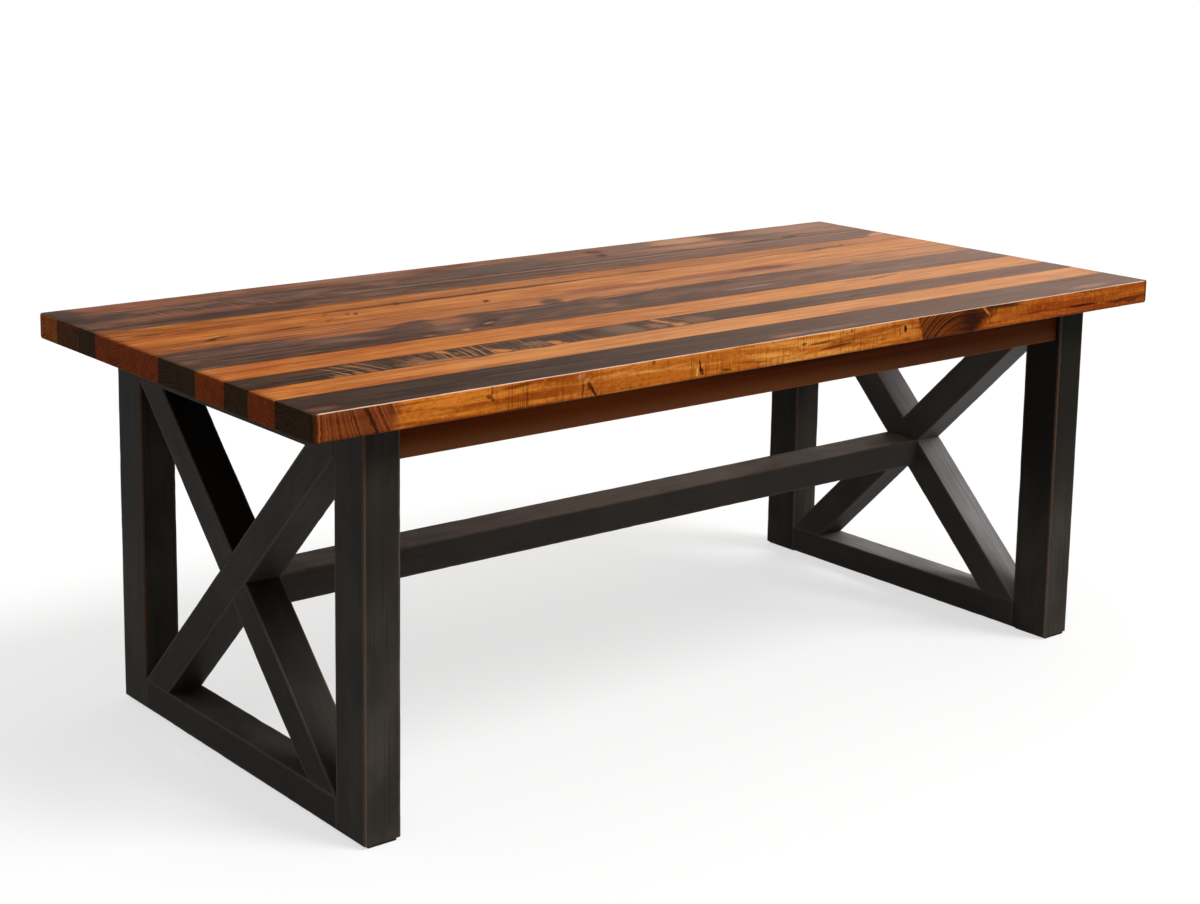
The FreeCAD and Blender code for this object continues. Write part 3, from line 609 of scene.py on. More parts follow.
def edge_mark(x, z, long, tall, colour, strength, soft=0.6, turn=0.0):
    """The same on the top's front edge, by x and z."""
    angles = (0, -math.radians(turn), 0)
    return (x * MM, FRONT, z * MM), (long * MM, THROUGH, tall * MM), angles, colour, strength, soft


def paint_marks(f, astray, colour, marks, feather):
    """Lays marks one over another. Each is a circle of radius 1 in its own turned and stretched
    coordinates, on places led astray, and its rim is drawn out along the grain like feathers."""
    for at, size, turn, tone, strength, soft in marks:
        local = f.node("Mapping", {"vector_type": "TEXTURE"}, {
            "Vector": astray, "Location": at, "Rotation": turn, "Scale": size})
        away = f.vector("LENGTH", local, output="Value")
        amount = f.rise(away + feather * 2.6 * soft, 1.0 + 1.85 * soft, 1.0 + 0.75 * soft)
        colour = f.mix(amount * strength, colour, tone)
    return colour


def saw_marks(f, place, colour, patches, light, front, seed):
    """The saw's scratches across a board: stripes of noise over x + lean y + 2 y^2, with y from the
    front glue line, in patches given by first and last x in mm, stripes to the metre, strength and
    lean. The light ones thin out away from that glue line."""
    x, y = f.part(place, "X"), f.part(place, "Y") - front
    clumps = f.cloud(place, (14, 30, 3), seed + 5.3)
    for number, (first, last, pitch, strength, lean) in enumerate(patches):
        stripe = f.stripes((x + y * lean + y * y * 2.0) * pitch + (seed + number * 2.3), 1.0, 0.6)
        inside = f.rise(x, (first - SAW_FADE) * MM, (first + SAW_FADE) * MM)
        inside *= f.rise(x, (last + SAW_FADE) * MM, (last - SAW_FADE) * MM)
        reach = stripe + (clumps - 0.5) * 0.4 - y * 1.2
        colour = f.mix(f.rise(stripe, 0.46, 0.4) * inside * strength * 0.8, colour, SOOT)
        colour = f.mix(f.rise(reach, 0.49, 0.54) * inside * strength, colour, light)
    return colour


def front_edge(f, x, z, place, wander, fine, feather, marks):
    """The front board's own edge: amber with long wavy grain and upright saw lines, brighter in
    the middle, with a smoky fan of streaks at the left and a dark graft whose growth rings curve
    round a centre below it."""
    waves = f.cloud(place, (4.5, 40, 75), 81.0, 3, 0.55)
    lines = f.cloud(place, (8, 60, 420), 83.0)
    upright = f.cloud(place, (300, 5, 9), 85.0, 1)
    clumps = f.cloud(place, (9, 5, 24), 89.0)
    fuzz = f.cloud(place, (90, 60, 150), 87.0, 3, 0.65)
    jitter = (f.part(fine, "X") - 0.5) * 6 * MM + (f.part(wander, "X") - 0.5) * 16 * MM
    wavy = f.rise(waves * 0.85 + lines * 0.15, 0.42, 0.6)
    middle = f.rise(x, -0.58, -0.36) * f.rise(x, 0.3, 0.0)
    hatched = f.rise(upright, 0.5, 0.66) * f.rise(clumps, 0.36, 0.52) * f.rise(x, -0.74, -0.68)
    amber = f.over(
        f.mix(wavy, 0xA04C12, 0xDE822A),
        (middle * 0.75, f.mix(wavy, 0xD27624, 0xFAAE54)),
        (f.rise(x, 0.5, 0.68) * 0.5, 0x9E4008), (f.rise(lines, 0.56, 0.64) * 0.4, 0x7E360A),
        (hatched * 0.46, 0x6C2C08), (f.rise(fuzz, 0.52, 0.62) * 0.34, 0x7C360C),
        (f.rise(fuzz, 0.44, 0.34) * 0.25, 0xF0A04A))

    fan = x + (z - TOP_MIDDLE) * f.rise(x, -1.02, -0.9) * 0.5
    streak = f.stripes(fan * 170.0 + fuzz + clumps * 1.5, 3.0, 0.7)
    smoky = f.mix(f.rise(streak, 0.4, 0.6), 0x522410, 0x8A4222)
    smoky = f.mix(f.rise(streak, 0.62, 0.68) * 0.7, smoky, 0xB06842)
    amber = f.mix(f.rise(x + jitter * 2.0, -0.846, -0.876) * 0.92, amber, smoky)

    from_centre = f.vector("MULTIPLY_ADD", place, (1, 0, 1), (-RINGS_X, 0, -RINGS_Z))
    bow = f.vector("LENGTH", from_centre, output="Value")
    ring = f.stripes(bow * 340.0 + fuzz * 0.6, 0.0, 0.5)
    smoked = f.mix(f.rise(waves, 0.35, 0.65), 0x2E1106, 0x54220A)
    graft = f.mix(f.rise(x, 0.34, 0.42), 0x301105, smoked)
    graft = f.mix(f.rise(ring, 0.52, 0.6) * f.rise(x, 0.5, 0.34) * 0.75, graft, 0xB25A1C)
    left = x + (z - TOP_FACE) * 0.33 + jitter * 0.4
    right = x - (z - TOP_MIDDLE) * 1.5 + jitter * 2.0
    amber = f.mix(f.rise(left, 0.317, 0.322) * f.rise(right, 0.535, 0.49) * 0.94, amber, graft)
    near = f.shifted(f.shifted(place, wander, (0.010, 0.0, 0.004)), fine, (0.004, 0.0, 0.002))
    return paint_marks(f, near, amber, marks, feather)


def board_finish(number, front, back, tones, end_tones, marks, edge_marks=(), saw=(), saw_light=None,
                 mottled=None, warmed=None, grain=1.0):
    """The finish of one board. Growth rings are noise over the distance from a pith that runs near the board,
    so they make lines along the faces and arcs on the ends. warmed is a tone and the two x between which the
    board takes it on: lighter towards the right end, partly the board's own colour and partly a painted
    sheen."""
    deep, body, pale = tones
    material, f = new_finish(f"board_{number:02d}")
    seed = number * 3.7
    place = f.place()
    x, y, z = (f.part(place, axis) for axis in "XYZ")
    sway = f.cloud(place, (1.4, 9, 9), seed, output="Color")
    wander = f.cloud(place, (6, 24, 24), seed + 8, 3, output="Color")
    fine = f.cloud(place, (34, 330, 200), seed + 1, output="Color")
    bent = f.shifted(place, sway, (0.0, 0.03, 0.03))
    astray = f.shifted(f.shifted(f.shifted(place, sway, (0.05, 0.010, 0.0)), wander, (0.03, 0.012, 0.0)),
                       fine, (0.03, 0.003, 0.0))

    pith_y = (front + back) / 2 + (0.05 if number % 2 else -0.06)
    pith_z = TOP_MIDDLE + (0.07 if number % 3 else -0.05)
    from_pith = f.vector("MULTIPLY_ADD", bent, (0.05, 1.0, 1.0), (0.0, -pith_y, -pith_z))
    rings = f.stripes(f.vector("LENGTH", from_pith, output="Value") * 330.0, 3.0, 0.6)
    streaks = f.cloud(bent, (2.2, 60, 60), seed + 2, 4, 0.6)
    broad = f.cloud(bent, (3.0, 16, 8), seed + 3, 3)
    mottle = f.cloud(bent, (14, 34, 20), seed + 9, 3, 0.6)
    feather = f.cloud(bent, (11, 230, 230), seed + 12, 3, 0.6)
    fibre = f.cloud(bent, (16, 760, 760), seed + 4, rough=0.6)
    pores = f.rise(f.cloud(bent, (42, 1300, 1300), seed + 6, 1), 0.66, 0.74)

    tone = rings * 0.2 + streaks * 0.28 + broad * 0.3 + mottle * 0.22
    colour = f.mix(f.rise(tone, 0.41, 0.5), deep, body)
    colour = f.mix(f.rise(tone, 0.5, 0.58), colour, pale)
    if mottled:
        colour = f.mix(f.rise(mottle * 0.55 + broad * 0.45, 0.5, 0.62) * 0.7, colour, mottled)
    # Towards the right end the board turns lighter and warmer: partly its own colour, partly a painted sheen.
    if warmed:
        warm, start, full = warmed
        warm = f.mix(f.rise(tone, 0.42, 0.58), f.mix(0.35, warm, body), warm)
        colour = f.mix(f.rise(x, start, full) * 0.75, colour, warm)
    lines = f.cloud(bent, (4, 190, 120), seed + 14, 3, 0.65)
    hairs = f.cloud(bent, (7, 420, 300), seed + 16, rough=0.6)
    shade = f.mix(1.0, colour, 0xC6B0A0, "MULTIPLY")
    light = f.mix(0.22, colour, 0xFFDEAC)
    for noise, low, high, amount, layer in (
            (lines, 0.53, 0.63, 0.65, shade), (lines, 0.45, 0.35, 0.5, light),
            (hairs, 0.55, 0.66, 0.5, shade), (hairs, 0.44, 0.34, 0.35, light)):
        colour = f.mix(f.rise(noise, low, high) * amount * grain, colour, layer)
    colour = f.mix(f.rise(fibre, 0.5, 0.85) * 0.3 + pores * 0.35, colour, deep)
    if saw:
        lightly = f.shifted(place, wander, (0.006, 0.0, 0.0))
        colour = saw_marks(f, lightly, colour, saw, saw_light, front, seed)
    colour = paint_marks(f, astray, colour, [top_mark(*row) for row in marks], feather)
    ragged = (f.part(fine, "X") - 0.5) * 0.8 * MM
    on_edge = 0.0
    if edge_marks:
        amber = front_edge(f, x, z, place, wander, fine, feather, [edge_mark(*row) for row in edge_marks])
        on_edge = f.rise(y + ragged, FRONT + 2.7 * MM, FRONT + 1.9 * MM)
        on_edge *= f.rise(z, TOP_FACE - 0.8 * MM, TOP_FACE - 2 * MM)
        colour = f.mix(on_edge, colour, amber)

    glue = 0.0
    if number > 1:
        glue = f.rise(y - front, 3.0 * MM, 0.4 * MM)
    if number < BOARDS:
        glue = f.rise(back - y, 3.0 * MM, 0.4 * MM) + glue
    along = f.node("Math", {"operation": "ABSOLUTE"}, {0: x})
    end_grain = f.rise(along + ragged, END - 3.2 * MM, END - 1.4 * MM)
    ringed = f.mix(f.rise(rings * 0.5 + streaks * 0.3 + fibre * 0.2, 0.38, 0.6), *end_tones)
    by_end = f.rise(along, END - 16 * MM, END - 2 * MM) * (1.0 - end_grain)
    under = f.rise(z, UNDERSIDE + 2.5 * MM, UNDERSIDE + 1 * MM)
    arris = f.carried("rub")
    rubbed = f.rise(arris * 0.7 + streaks * 0.4 + fibre * 0.25, 0.96, 1.14)
    colour = f.over(
        colour, (glue * 0.65, 0x3A1E10), (end_grain, ringed), (by_end * 0.45, SOOT),
        (under * 0.45, 0x704E32), (rubbed * 0.5, 0x966E54))
    if number == 1:
        # Painted highlight: a pale line along the front board's top arris, where the light catches it.
        painted_highlight = f.rise(arris + (feather - 0.5) * 0.3, 0.52, 0.72)
        painted_highlight *= f.rise(z, TOP_FACE - 10 * MM, TOP_FACE - 6 * MM)
        painted_highlight *= f.rise(along, END - 8 * MM, END - 16 * MM) * 0.9
        colour = f.mix(painted_highlight, colour, 0xE2C4AC)
    rough = 0.34 + broad * 0.1 + fibre * 0.1 + mottle * 0.08 + end_grain * 0.16 + under * 0.2
    relief = fibre * 0.35 + rings * 0.35 + streaks * 0.3 - pores * 0.4 - glue * 0.8
    f.surface(colour, rough, relief, 0.28 * MM, VARNISH_GLOSS, end_grain + on_edge + under * 0.5)
    return material


def board(number, slot, tones, end_tones, marks, **looks):
    """One board: square where it meets its neighbours, rounded where it is on the rim of the top."""
    node = f"top_board_{number:02d}"
    low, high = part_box(node)
    centre, half = middle_and_half(low, high)
    first, last = number == 1, number == BOARDS
    arris = (UNDERSIDE_ARRIS if first else SEAM, UNDERSIDE_ARRIS if last else SEAM,
             TOP_ARRIS if last else SEAM, TOP_ARRIS if first else SEAM)
    nose = (CORNER_ROUND if first else 0.0, 2 * CORNER_ROUND if last else 0.0, UNDERSIDE_ARRIS, TOP_ARRIS)
    plank = Timber(centre, (1, 0, 0), (0, 1, 0), half, arris, nose, cell=9 * MM)
    material = board_finish(number, low.y, high.y, tones, end_tones, marks, **looks)
    piece = add_timber(f"plank_{number:02d}", plank, planed_wear, material)
    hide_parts(node)


ORANGE = (0x904413, 0xAE5C1B, 0xC6772C)
DARK_END = (0x22170A, 0x3A2713)
ORANGE_END = (0x62280D, 0x8A3E17)
SMOKE = 0x523C34
SOOT = 0x281912
KNOT = 0x542A18
AMBER = 0xC47C44
ASH = 0x5C5048
PINK = 0x966C5C
UMBER = 0x501E06
PITCH = 0x200E06

# The boards' rows are marks, with what top_mark or edge_mark takes. Board 1, at the
# front: smoke-dark, and its edge is amber, with knots, a dark graft and old checks.
board(1, "plank_black_brown", (0x30211A, 0x39271F, 0x453027), DARK_END, [
    (-985, -457, 32, 11, 0x84523E, 0.55, 0.8), (8, -463, 48, 7, 0x9E5E48, 0.7, 0.7),
    (118, -461, 80, 7, 0x8E6656, 0.5, 0.8), (611, -391, 42, 3, SOOT, 0.5, 0.7),
    (840, -388, 70, 5, SOOT, 0.45, 0.8), (860, -458, 60, 9, 0xA66E5C, 0.6, 0.8),
], edge_marks=[
    (-907, 736, 4, 30, PITCH, 0.75, 0.6, 28), (-938, 738, 3, 34, PITCH, 0.5, 0.6, 22),
    (-1011, 738, 5, 40, PITCH, 0.6, 0.5), (-683, 743, 7, 4, UMBER, 0.75, 0.6, -20),
    (-677, 740, 3, 5, PITCH, 0.7, 0.6, 20), (-678, 752, 2, 9, UMBER, 0.7, 0.5),
    (-628, 755, 36, 3, UMBER, 0.75, 0.8, 2), (-608, 734, 1.6, 17, UMBER, 0.6, 0.4, 4),
    # The pale strokes near x = -495 and -484 are painted glints on scratches in the varnish.
    (-495, 753, 7, 5, 0xCE946E, 0.4, 0.9, 20), (-498, 751, 1.6, 9, 0xD8A07C, 0.35, 0.9, 4),
    (-491, 731, 2, 12, PITCH, 0.7, 0.4, 4), (-478, 735, 4, 8, UMBER, 0.85, 0.5, 20),
    (-468, 726, 3, 13, PITCH, 0.85, 0.4, 34), (-484, 744, 6, 3, 0xD09060, 0.6, 0.5, 30),
    (-336, 757, 4, 4, UMBER, 0.7, 0.5), (-231, 737, 2, 14, PITCH, 0.95, 0.3, 6),
    (-227, 727, 4, 7, PITCH, 0.85, 0.4, 24), (-237, 727, 2.2, 8, 0xE8B060, 0.9, 0.3),
    (-170, 723, 13, 2.6, UMBER, 0.75, 0.6, -6), (-110, 729, 46, 1.5, UMBER, 0.45, 0.6, -5),
    (21, 746, 5, 3, PITCH, 0.8, 0.5), (62, 743, 32, 1.6, UMBER, 0.75, 0.6, 2),
    (104, 732, 46, 2.6, UMBER, 0.8, 0.7, 3), (120, 738, 40, 1.4, UMBER, 0.5, 0.6, 3),
    (143, 756, 2.4, 4, PITCH, 0.7, 0.5), (121, 757, 2, 3, UMBER, 0.7, 0.5),
    (285, 742, 16, 13, 0xDE8E42, 0.45, 0.9), (271, 741, 1.6, 9, UMBER, 0.65, 0.5, 8),
    (285, 744, 3.6, 7, PITCH, 0.95, 0.35, 6), (308, 730, 12, 12, 0xE28E3E, 0.4, 0.9, 30),
    (468, 742, 22, 30, PITCH, 0.55, 0.9), (575, 758, 42, 6, PITCH, 0.8, 0.9),
    (512, 752, 2.4, 13, 0xCE742C, 0.85, 0.5, 48), (526, 736, 2.2, 14, UMBER, 0.85, 0.6, -14),
    (536, 741, 2.6, 15, PITCH, 0.6, 0.7, -20), (519, 728, 3, 8, 0xC46822, 0.6, 0.6, 20),
    (540, 735, 14, 7, 0xE0822E, 0.6, 0.9), (590, 736, 40, 11, 0xC46822, 0.5, 0.9),
    (700, 733, 90, 1.7, UMBER, 0.5, 0.7), (800, 731, 42, 2.4, PITCH, 0.85), (812, 754, 2, 6, UMBER, 0.5),
    (944, 730, 58, 3, UMBER, 0.8, 0.9, 2), (915, 725, 12, 3, UMBER, 0.6, 0.7),
    (965, 725, 20, 3.5, UMBER, 0.65, 0.8), (1011, 738, 5, 40, UMBER, 0.6, 0.5),
], warmed=(0x76493A, -0.6, 1.0), grain=0.5)

# Board 2: plain light orange, with smoke fingering into it.
board(2, "plank_orange", ORANGE, ORANGE_END, [
    (-985, -292, 26, 3, SOOT, 0.5, 0.6), (-562, -292, 30, 9, SMOKE, 0.8, 0.8),
    (-488, -291, 12, 5, SMOKE, 0.8, 0.6), (-424, -291, 30, 6, SMOKE, 0.85, 0.6, -4),
    (-340, -290, 34, 4, SMOKE, 0.8, 0.6), (-560, -332, 240, 16, 0xDE964C, 0.45),
    (-250, -340, 90, 9, 0xB4703A, 0.3),
], warmed=(0xD59258, -1.05, -0.1), grain=1.2)

# Board 3: smoke-dark, with light wood showing in the saw's scratches.
board(3, "plank_dark_brown", (0x322018, 0x402A20, 0x563A2C), DARK_END, [
    (-170, -252, 70, 40, 0x3C2A22, 0.45), (170, -250, 100, 40, 0x3C2A24, 0.4),
    (-640, -281, 52, 11, 0xAC7246, 0.7), (-605, -226, 9, 17, AMBER, 0.8, 0.7, 12),
    (-668, -260, 13, 15, 0xA06A44, 0.5, 0.8), (-505, -282, 15, 22, AMBER, 0.85, 0.6, 14),
    (-466, -248, 34, 22, 0x46322A, 0.7, 0.7, -20), (-424, -262, 20, 18, 0x8C6250, 0.6, 0.8, 30),
    (-388, -280, 12, 22, AMBER, 0.8, 0.6, 16), (-352, -250, 26, 30, 0x46322A, 0.6, 0.8),
    (-302, -270, 4, 13, SOOT, 0.7, 0.7, -20), (-222, -252, 44, 34, 0x806454, 0.6),
    (-177, -252, 6, 32, 0x422E26, 0.7, 0.7, 4), (-150, -262, 16, 22, 0x9E6C4C, 0.6),
    (-112, -240, 8, 30, AMBER, 0.85, 0.6, 4), (-108, -276, 18, 12, AMBER, 0.85, 0.7),
    (-83, -246, 5, 22, SOOT, 0.7, 0.6, 10), (-48, -262, 26, 22, 0x8C6248, 0.55),
    (378, -258, 20, 4, SOOT, 0.8, 0.6, 25), (700, -258, 60, 14, 0x60443C, 0.6),
    (760, -287, 240, 5, 0xA06C4E, 0.5),
], warmed=(0x784C3E, -0.5, 0.9), saw_light=0xA67148, grain=0.7, saw=[
    (-852, -746, 125, 0.75, 0.15), (-738, -650, 165, 0.5, -0.1), (-640, -505, 150, 0.75, -0.35),
    (-490, -400, 150, 0.45, -0.4), (-360, -290, 120, 0.25, -0.3), (-240, -60, 110, 0.3, 0.0)])

# Board 4: orange, redder towards its back edge, with one dark slash.
board(4, "plank_orange", ORANGE, ORANGE_END, [
    (-942, -140, 70, 15, 0xAA5C32, 0.65, 0.8), (-600, -190, 330, 14, 0xD48A44, 0.25),
    (-300, -150, 120, 14, 0xB46C3E, 0.35), (-510, -160, 100, 34, 0xA45C2C, 0.3),
    (588, -139, 46, 5, 0x4A2A1E, 0.9, 0.5, 12), (600, -131, 44, 3, 0xBE8C70, 0.5, 0.6, 10),
    (494, -142, 32, 5, 0x9C5C3E, 0.6, 0.7, 8),
], warmed=(0xD29058, -1.0, 0.5), grain=1.2)

# Board 5: the widest, mottled purple-brown, with a pink knot.
board(5, "plank_dark_brown", (0x3E261F, 0x50352B, 0x664639), DARK_END, [
    (-678, -46, 60, 16, PINK, 0.35, 0.9, -12), (-570, -50, 60, 44, 0x4E3832, 0.6),
    (-460, -70, 38, 34, 0x7C5A48, 0.5), (-368, -52, 34, 11, SOOT, 0.7, 0.7, 20),
    (-392, -78, 14, 16, SOOT, 0.5, 0.7, 30), (-383, -67, 12, 5, 0xAA7462, 0.75, 0.7, 24),
    (-444, -95, 10, 6, AMBER, 0.75, 0.6, 50), (-528, -100, 12, 6, 0xA86C42, 0.5, 0.7),
    (-220, -16, 110, 26, 0x4E3C38, 0.6), (-92, -64, 22, 13, 0x8C6248, 0.55, 0.8, 20),
    (-18, -40, 30, 30, 0x4C3C36, 0.5), (280, -72, 60, 8, 0xA07C6E, 0.5),
    (-250, 1, 90, 5, 0x9C7058, 0.5, 0.8), (-655, 0, 92, 15, 0xAC6840, 0.85, 0.7),
    (-436, -10, 40, 24, 0x9C6244, 0.7, 0.8), (-20, 6, 70, 6, 0xB0744C, 0.7, 0.7),
    (850, 4, 190, 14, 0xBC8054, 0.75, 0.8), (-800, -20, 180, 20, 0x62483E, 0.5),
], mottled=0x724C3F, warmed=(0x82594B, -0.5, 1.1))

# Board 6: red-brown, and smoked in patches.
board(6, "plank_red_brown", (0x814318, 0x9C5725, 0xB46F36), ORANGE_END, [
    (-885, 16, 125, 19, SMOKE, 0.9, 0.7), (-850, 22, 48, 8, 0x46302A, 0.7, 0.7),
    (-1000, 8, 40, 14, SMOKE, 0.8, 0.7), (-500, 8, 44, 15, SMOKE, 0.9, 0.7, 18),
    (-352, 17, 44, 8, SMOKE, 0.85, 0.7), (-153, 30, 26, 24, SMOKE, 0.9, 0.6),
    (-76, 20, 34, 6, SMOKE, 0.75, 0.7, 6), (97, 18, 8, 4, KNOT, 0.6, 0.6, 30),
    (-230, 8, 100, 6, SMOKE, 0.8, 0.7), (350, 12, 300, 10, SMOKE, 0.85, 0.8),
    (668, 32, 11, 7, KNOT, 0.5, 0.8), (-700, 62, 110, 8, 0x965430, 0.5),
    (0, 70, 98, 10, 0x965C42, 0.7, 0.8), (56, 75, 60, 4, 0x70402E, 0.7, 0.7),
    (300, 74, 210, 15, 0x96583E, 0.8, 0.8), (430, 70, 84, 15, 0x744232, 0.85, 0.7),
    (476, 74, 26, 7, 0x5C342A, 0.7, 0.6), (900, 40, 110, 20, 0xC48654, 0.5),
], warmed=(0xBE8054, -1.1, 0.3))

# Board 7: clear orange with a knot streak, a few slashes and a knot.
board(7, "plank_orange", (0x8A4210, 0xA65718, 0xBD7029), ORANGE_END, [
    (-878, 84, 22, 5, SOOT, 0.85, 0.7, 26), (-856, 96, 26, 6, SOOT, 0.75, 0.7, 16),
    (-745, 93, 84, 10, 0x7E4422, 0.75), (-700, 96, 36, 5, SOOT, 0.6, 0.8, 2),
    (-534, 142, 13, 4.5, SOOT, 0.8, 0.6, 48), (-551, 145, 14, 4, KNOT, 0.6, 0.7, 58),
    (-610, 117, 16, 2.6, KNOT, 0.6, 0.7, 48), (-588, 169, 18, 2.2, KNOT, 0.6, 0.7, 52),
    (-421, 176, 10, 4, KNOT, 0.7, 0.6, 30), (-256, 109, 16, 9, 0x965428, 0.6, 0.8, 52),
    (-256, 109, 12, 5, SOOT, 0.95, 0.5, 52), (10, 93, 98, 18, 0x925236, 0.85, 0.8),
    (300, 84, 200, 18, 0x96563C, 0.85, 0.8), (446, 80, 70, 16, 0x703E2E, 0.9, 0.7),
    (594, 76, 60, 7, 0xB0724C, 0.6), (830, 86, 30, 9, 0xAA6E4A, 0.6), (930, 100, 62, 9, 0xA46646, 0.7),
    (-260, 181, 350, 4.5, SOOT, 0.8, 0.7), (206, 184, 40, 7, 0x7C482C, 0.75, 0.8, -8),
    (400, 174, 90, 5, 0x965E3E, 0.6), (-938, 181, 22, 5, KNOT, 0.7, 0.8),
    (716, 181, 74, 3, SOOT, 0.6, 0.6, 3),
], warmed=(0xD28E54, -0.9, 0.1), grain=1.2)

# Board 8: a redder orange, with a knot patch by its front glue line.
board(8, "plank_orange", (0x804012, 0x9A531A, 0xB46D2C), ORANGE_END, [
    (714, 206, 76, 20, 0x966448, 0.75, 0.8, -4), (700, 188, 60, 5, 0x4A2A1C, 0.9, 0.6, 8),
    (780, 190, 30, 4, 0x4A2A1C, 0.9, 0.6, -14), (800, 198, 14, 4, 0x4A2A1C, 0.8, 0.6, 46),
    (-260, 185, 350, 4, SOOT, 0.75, 0.7), (-210, 219, 16, 2, KNOT, 0.6, 0.7, 40),
    (-130, 217, 90, 4, 0x8C5230, 0.5), (200, 192, 34, 9, 0x76462C, 0.75, 0.8, -8),
    (400, 204, 80, 12, 0x986244, 0.6), (-938, 187, 26, 6, KNOT, 0.7, 0.8),
    (-420, 187, 12, 5, KNOT, 0.7, 0.6, 30), (900, 220, 100, 16, 0xB47454, 0.5),
], warmed=(0xB47444, -0.9, 0.0), grain=1.2)

# Board 9: dark purple-brown, with a lighter stripe along its back.
board(9, "plank_dark_brown", (0x432B20, 0x5A3C2E, 0x725242), DARK_END, [
    (-985, 250, 36, 9, 0x9E6038, 0.7, 0.8), (-800, 322, 175, 17, 0x8A5842, 0.75),
    (-870, 320, 60, 9, 0x9A624C, 0.6), (-750, 272, 220, 20, 0x48342E, 0.6),
    (340, 318, 640, 6, 0x927668, 0.65), (-120, 276, 60, 14, 0x584A46, 0.7),
    (840, 278, 100, 14, 0x68544C, 0.8), (985, 262, 44, 15, 0xC4865C, 0.85, 0.7, 24),
], mottled=0x785242, warmed=(0x7E5A4E, -0.7, 1.0))

# Board 10: dark, with saw marks at the left and brown mottling at the right.
board(10, "plank_dark_brown", (0x3C2920, 0x543B30, 0x6E5243), (0x321B0B, 0x5C3218), [
    (-800, 322, 175, 15, 0x8A5842, 0.7), (-632, 324, 12, 14, SOOT, 0.5, 0.8),
    (-930, 374, 50, 28, 0x463730, 0.7), (-560, 384, 90, 24, ASH, 0.5), (-30, 388, 130, 30, ASH, 0.8),
    (-220, 356, 80, 20, 0x70564C, 0.5), (420, 331, 560, 4, SOOT, 0.5, 0.8),
    (520, 356, 120, 30, 0xB27056, 0.45), (446, 347, 34, 6, SOOT, 0.75, 0.7),
    (676, 344, 44, 5, SOOT, 0.8, 0.7, 6), (790, 351, 30, 5, SOOT, 0.85, 0.7, 10),
    (852, 360, 116, 4, SOOT, 0.7, 0.7), (250, 325, 600, 5, 0x9E8274, 0.5),
    (400, 338, 600, 5, SOOT, 0.75, 0.8, 0.4), (256, 390, 12, 10, SOOT, 0.75, 0.8, 60),
    (490, 390, 150, 26, 0xA47252, 0.6, 0.9, -4), (540, 376, 90, 7, 0xBA8A60, 0.45, 0.9, 3),
    (716, 398, 80, 20, 0x625249, 0.85, 0.8), (900, 396, 110, 30, 0x9C7462, 0.6),
    (300, 350, 220, 12, 0x7C645A, 0.4), (-996, 390, 30, 60, 0x3A302C, 0.7),
], mottled=0x7A5444, warmed=(0x906452, -0.6, 0.9), saw_light=0x8C6450, grain=0.8, saw=[
    (-860, -745, 110, 0.5, 0.03), (-700, -600, 100, 0.4, 0.03), (-590, -485, 90, 0.3, 0.0)])

# Board 11, at the back: streaky red-brown, fading to grey at its left corner.
board(11, "plank_red_brown", (0x5C3726, 0x784E3A, 0x966852), (0x68320E, 0x9E581E), [
    (-860, 446, 110, 30, 0x8C5239, 0.5), (-998, 442, 36, 60, 0x423833, 0.85),
    (-590, 414, 130, 14, 0x503C32, 0.6, 0.8), (-200, 424, 260, 5, 0x543E36, 0.5, 0.8),
    (-450, 462, 110, 9, 0x966250, 0.6), (-240, 466, 120, 7, 0xA66850, 0.5),
    (-330, 442, 120, 30, 0xA87E6C, 0.35), (170, 440, 110, 26, 0x604C46, 0.4), (-20, 414, 160, 12, ASH, 0.7),
    (98, 440, 8, 22, 0x60463E, 0.6, 0.8), (272, 430, 20, 20, SOOT, 0.65, 0.9, 20),
    (370, 430, 50, 40, 0x6E5E55, 0.7), (520, 440, 90, 30, 0xC49070, 0.7),
    (716, 408, 84, 13, 0x625249, 0.85, 0.8), (860, 436, 130, 40, 0xA67A66, 0.6),
    (936, 424, 10, 8, 0x96543E, 0.7, 0.8),
], mottled=0x8C5844)


# ---- splines
# Thin loose tongues of plain pale wood, glued into grooves between the boards,
# which hide them.

SPLINE_WOOD, f = new_finish("spline_wood")
lines = f.cloud(f.place(), (4, 300, 300), 7.0, 3)
f.surface(f.mix(f.rise(lines, 0.3, 0.7), 0xA88458, 0xCCAC7C), 0.6 + lines * 0.1,
          lines, 0.2 * MM, 0.4)
dress("board_splines", SPLINE_WOOD)


# ---- fixings
# Bent steel clips in saw kerfs hold the top down, with hexagon-headed screws,
# and two long screws go up through the cross rail. All are zinc-plated.

def zinc(name, warm, seed):
    """Zinc plate: cloudy grey with a crystal pattern, brighter where handling has polished it."""
    material, f = new_finish(name)
    place = f.place()
    crystal = f.node("TexVoronoi", {}, {"Vector": place, "Scale": 420.0}, "Color")
    flake = f.part(crystal, "X")
    cloudy = f.cloud(place, (90, 90, 90), seed, 3)
    colour = f.mix(f.rise(cloudy * 0.6 + flake * 0.4, 0.3, 0.7), 0x808284, warm)
    f.surface(colour, 0.3 + cloudy * 0.25, flake * 0.3 + cloudy * 0.7, 0.08 * MM, 0.5, metal=1.0)
    return material


dress("tabletop_clips", zinc("clip_zinc", 0xBEBEBA, 1.0))
SCREW_ZINC = zinc("screw_zinc", 0xC4B896, 5.0)
for node in ("clip_screws", "cross_rail_screws"):
    dress(node, SCREW_ZINC)


# ---- room
# A pale studio floor, a soft sun from the upper front right, a bright sky overhead
# and a soft panel low behind the right end, whose sheen lies along the top.

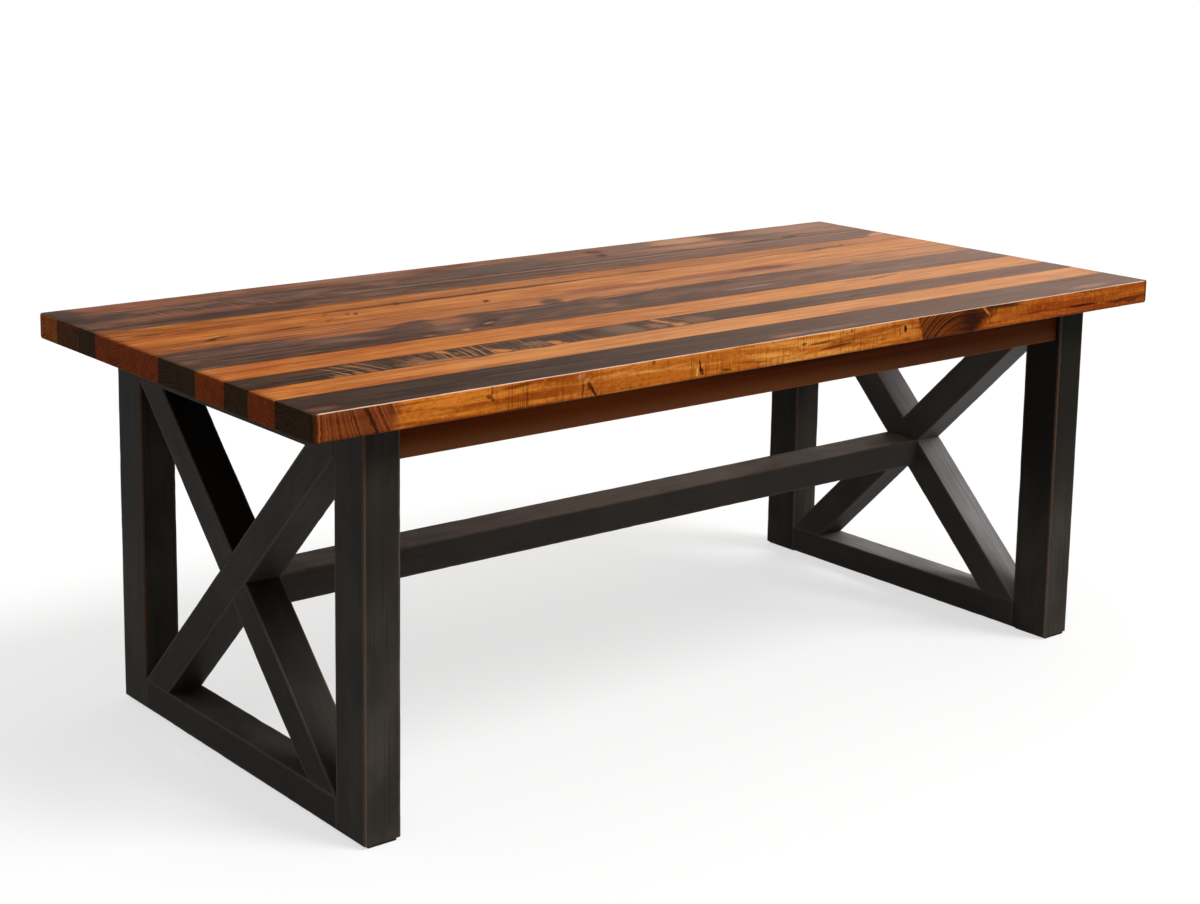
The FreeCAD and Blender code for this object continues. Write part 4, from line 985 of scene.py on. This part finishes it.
FLOOR_REACH = 60.0
FLOOR_GLOW = 0.66
floor_mesh = bpy.data.meshes.new("studio_floor")
corners = [(x * FLOOR_REACH, y * FLOOR_REACH, 0) for x, y in ((-1, -1), (1, -1), (1, 1), (-1, 1))]
floor_mesh.from_pydata(corners, [], [(0, 1, 2, 3)])
floor = stand("studio_floor", floor_mesh)
floor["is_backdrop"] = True

BLACK, WHITE = (0, 0, 0, 1), (1, 1, 1, 1)
FLOOR_PAINT, f = new_finish("studio_floor")
seen = 0.0
for name in ("Is Camera Ray", "Is Glossy Ray", "Is Transmission Ray"):
    seen = f.node("LightPath", {}, {}, name) + seen
lit = f.node("BsdfDiffuse", {}, {"Color": (0.96, 0.96, 0.96, 1.0)})
glowing = f.node("Emission", {}, {"Color": WHITE})
bright = f.node("MixShader", {}, {0: FLOOR_GLOW, 1: lit, 2: glowing})
quiet = f.node("BsdfDiffuse", {}, {"Color": (0.3, 0.3, 0.3, 1.0)})
f.node("OutputMaterial", {}, {"Surface": f.node("MixShader", {}, {0: seen, 1: quiet, 2: bright})})
floor_mesh.materials.append(FLOOR_PAINT)

world = bpy.data.worlds.new("studio")
bpy.context.scene.world = world
world.use_nodes = True
w = Finish(world.node_tree)
aim = w.node("TexCoord", {}, {}, "Generated")
height = w.part(aim, "Z")


def within(azimuth, outer, painted_light_inward):
    """1 for directions within the inner angle of an azimuth and 0 beyond the outer one, in degrees
    from +y towards +x: the dot product with it, against the cosines of the two angles."""
    angle = math.radians(azimuth)
    nearness = w.vector("DOT_PRODUCT", aim, (math.sin(angle), math.cos(angle), 0.0), output="Value")
    return w.rise(nearness, math.cos(math.radians(outer)), math.cos(math.radians(painted_light_inward)))


dark_flag = within(35, 26, 12)
horizon = w.rise(height, 0.14, 0.06) * (1.0 - dark_flag)
panel = within(88, 56, 26) * w.rise(height, 0.6, 0.3) * w.rise(height, -0.02, 0.02)
overhead = 0.05 + w.rise(height, 0.35, 0.95) * 0.75
glow = w.mix(1.0, w.mix(overhead, BLACK, WHITE), w.mix(panel, BLACK, (2.6, 2.25, 1.9, 1)), "ADD")
glow = w.mix(horizon, glow, WHITE)
glow = w.mix(w.node("LightPath", {}, {}, "Is Camera Ray"), glow, WHITE)
w.node("OutputWorld", {}, {"Surface": w.node("Background", {}, {"Color": glow})})

sun = bpy.data.lights.new("key", "SUN")
sun.energy = 2.35
sun.angle = math.radians(24)
key = stand("key", sun, place=(2, -3, 4), turn=(40, 0, 35))
key.visible_camera = False

view = bpy.data.cameras.new("camera")
view.sensor_width = 36.0
view.lens = 64.61
view.shift_x, view.shift_y = 0.03, -0.14
camera = stand("camera", view, place=(-2.67786, -3.19935, 1.54896), turn=(79.593, -0.742, -38.137))
bpy.context.scene.camera = camera
bpy.context.scene.view_settings.view_transform = "Standard"

low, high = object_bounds()
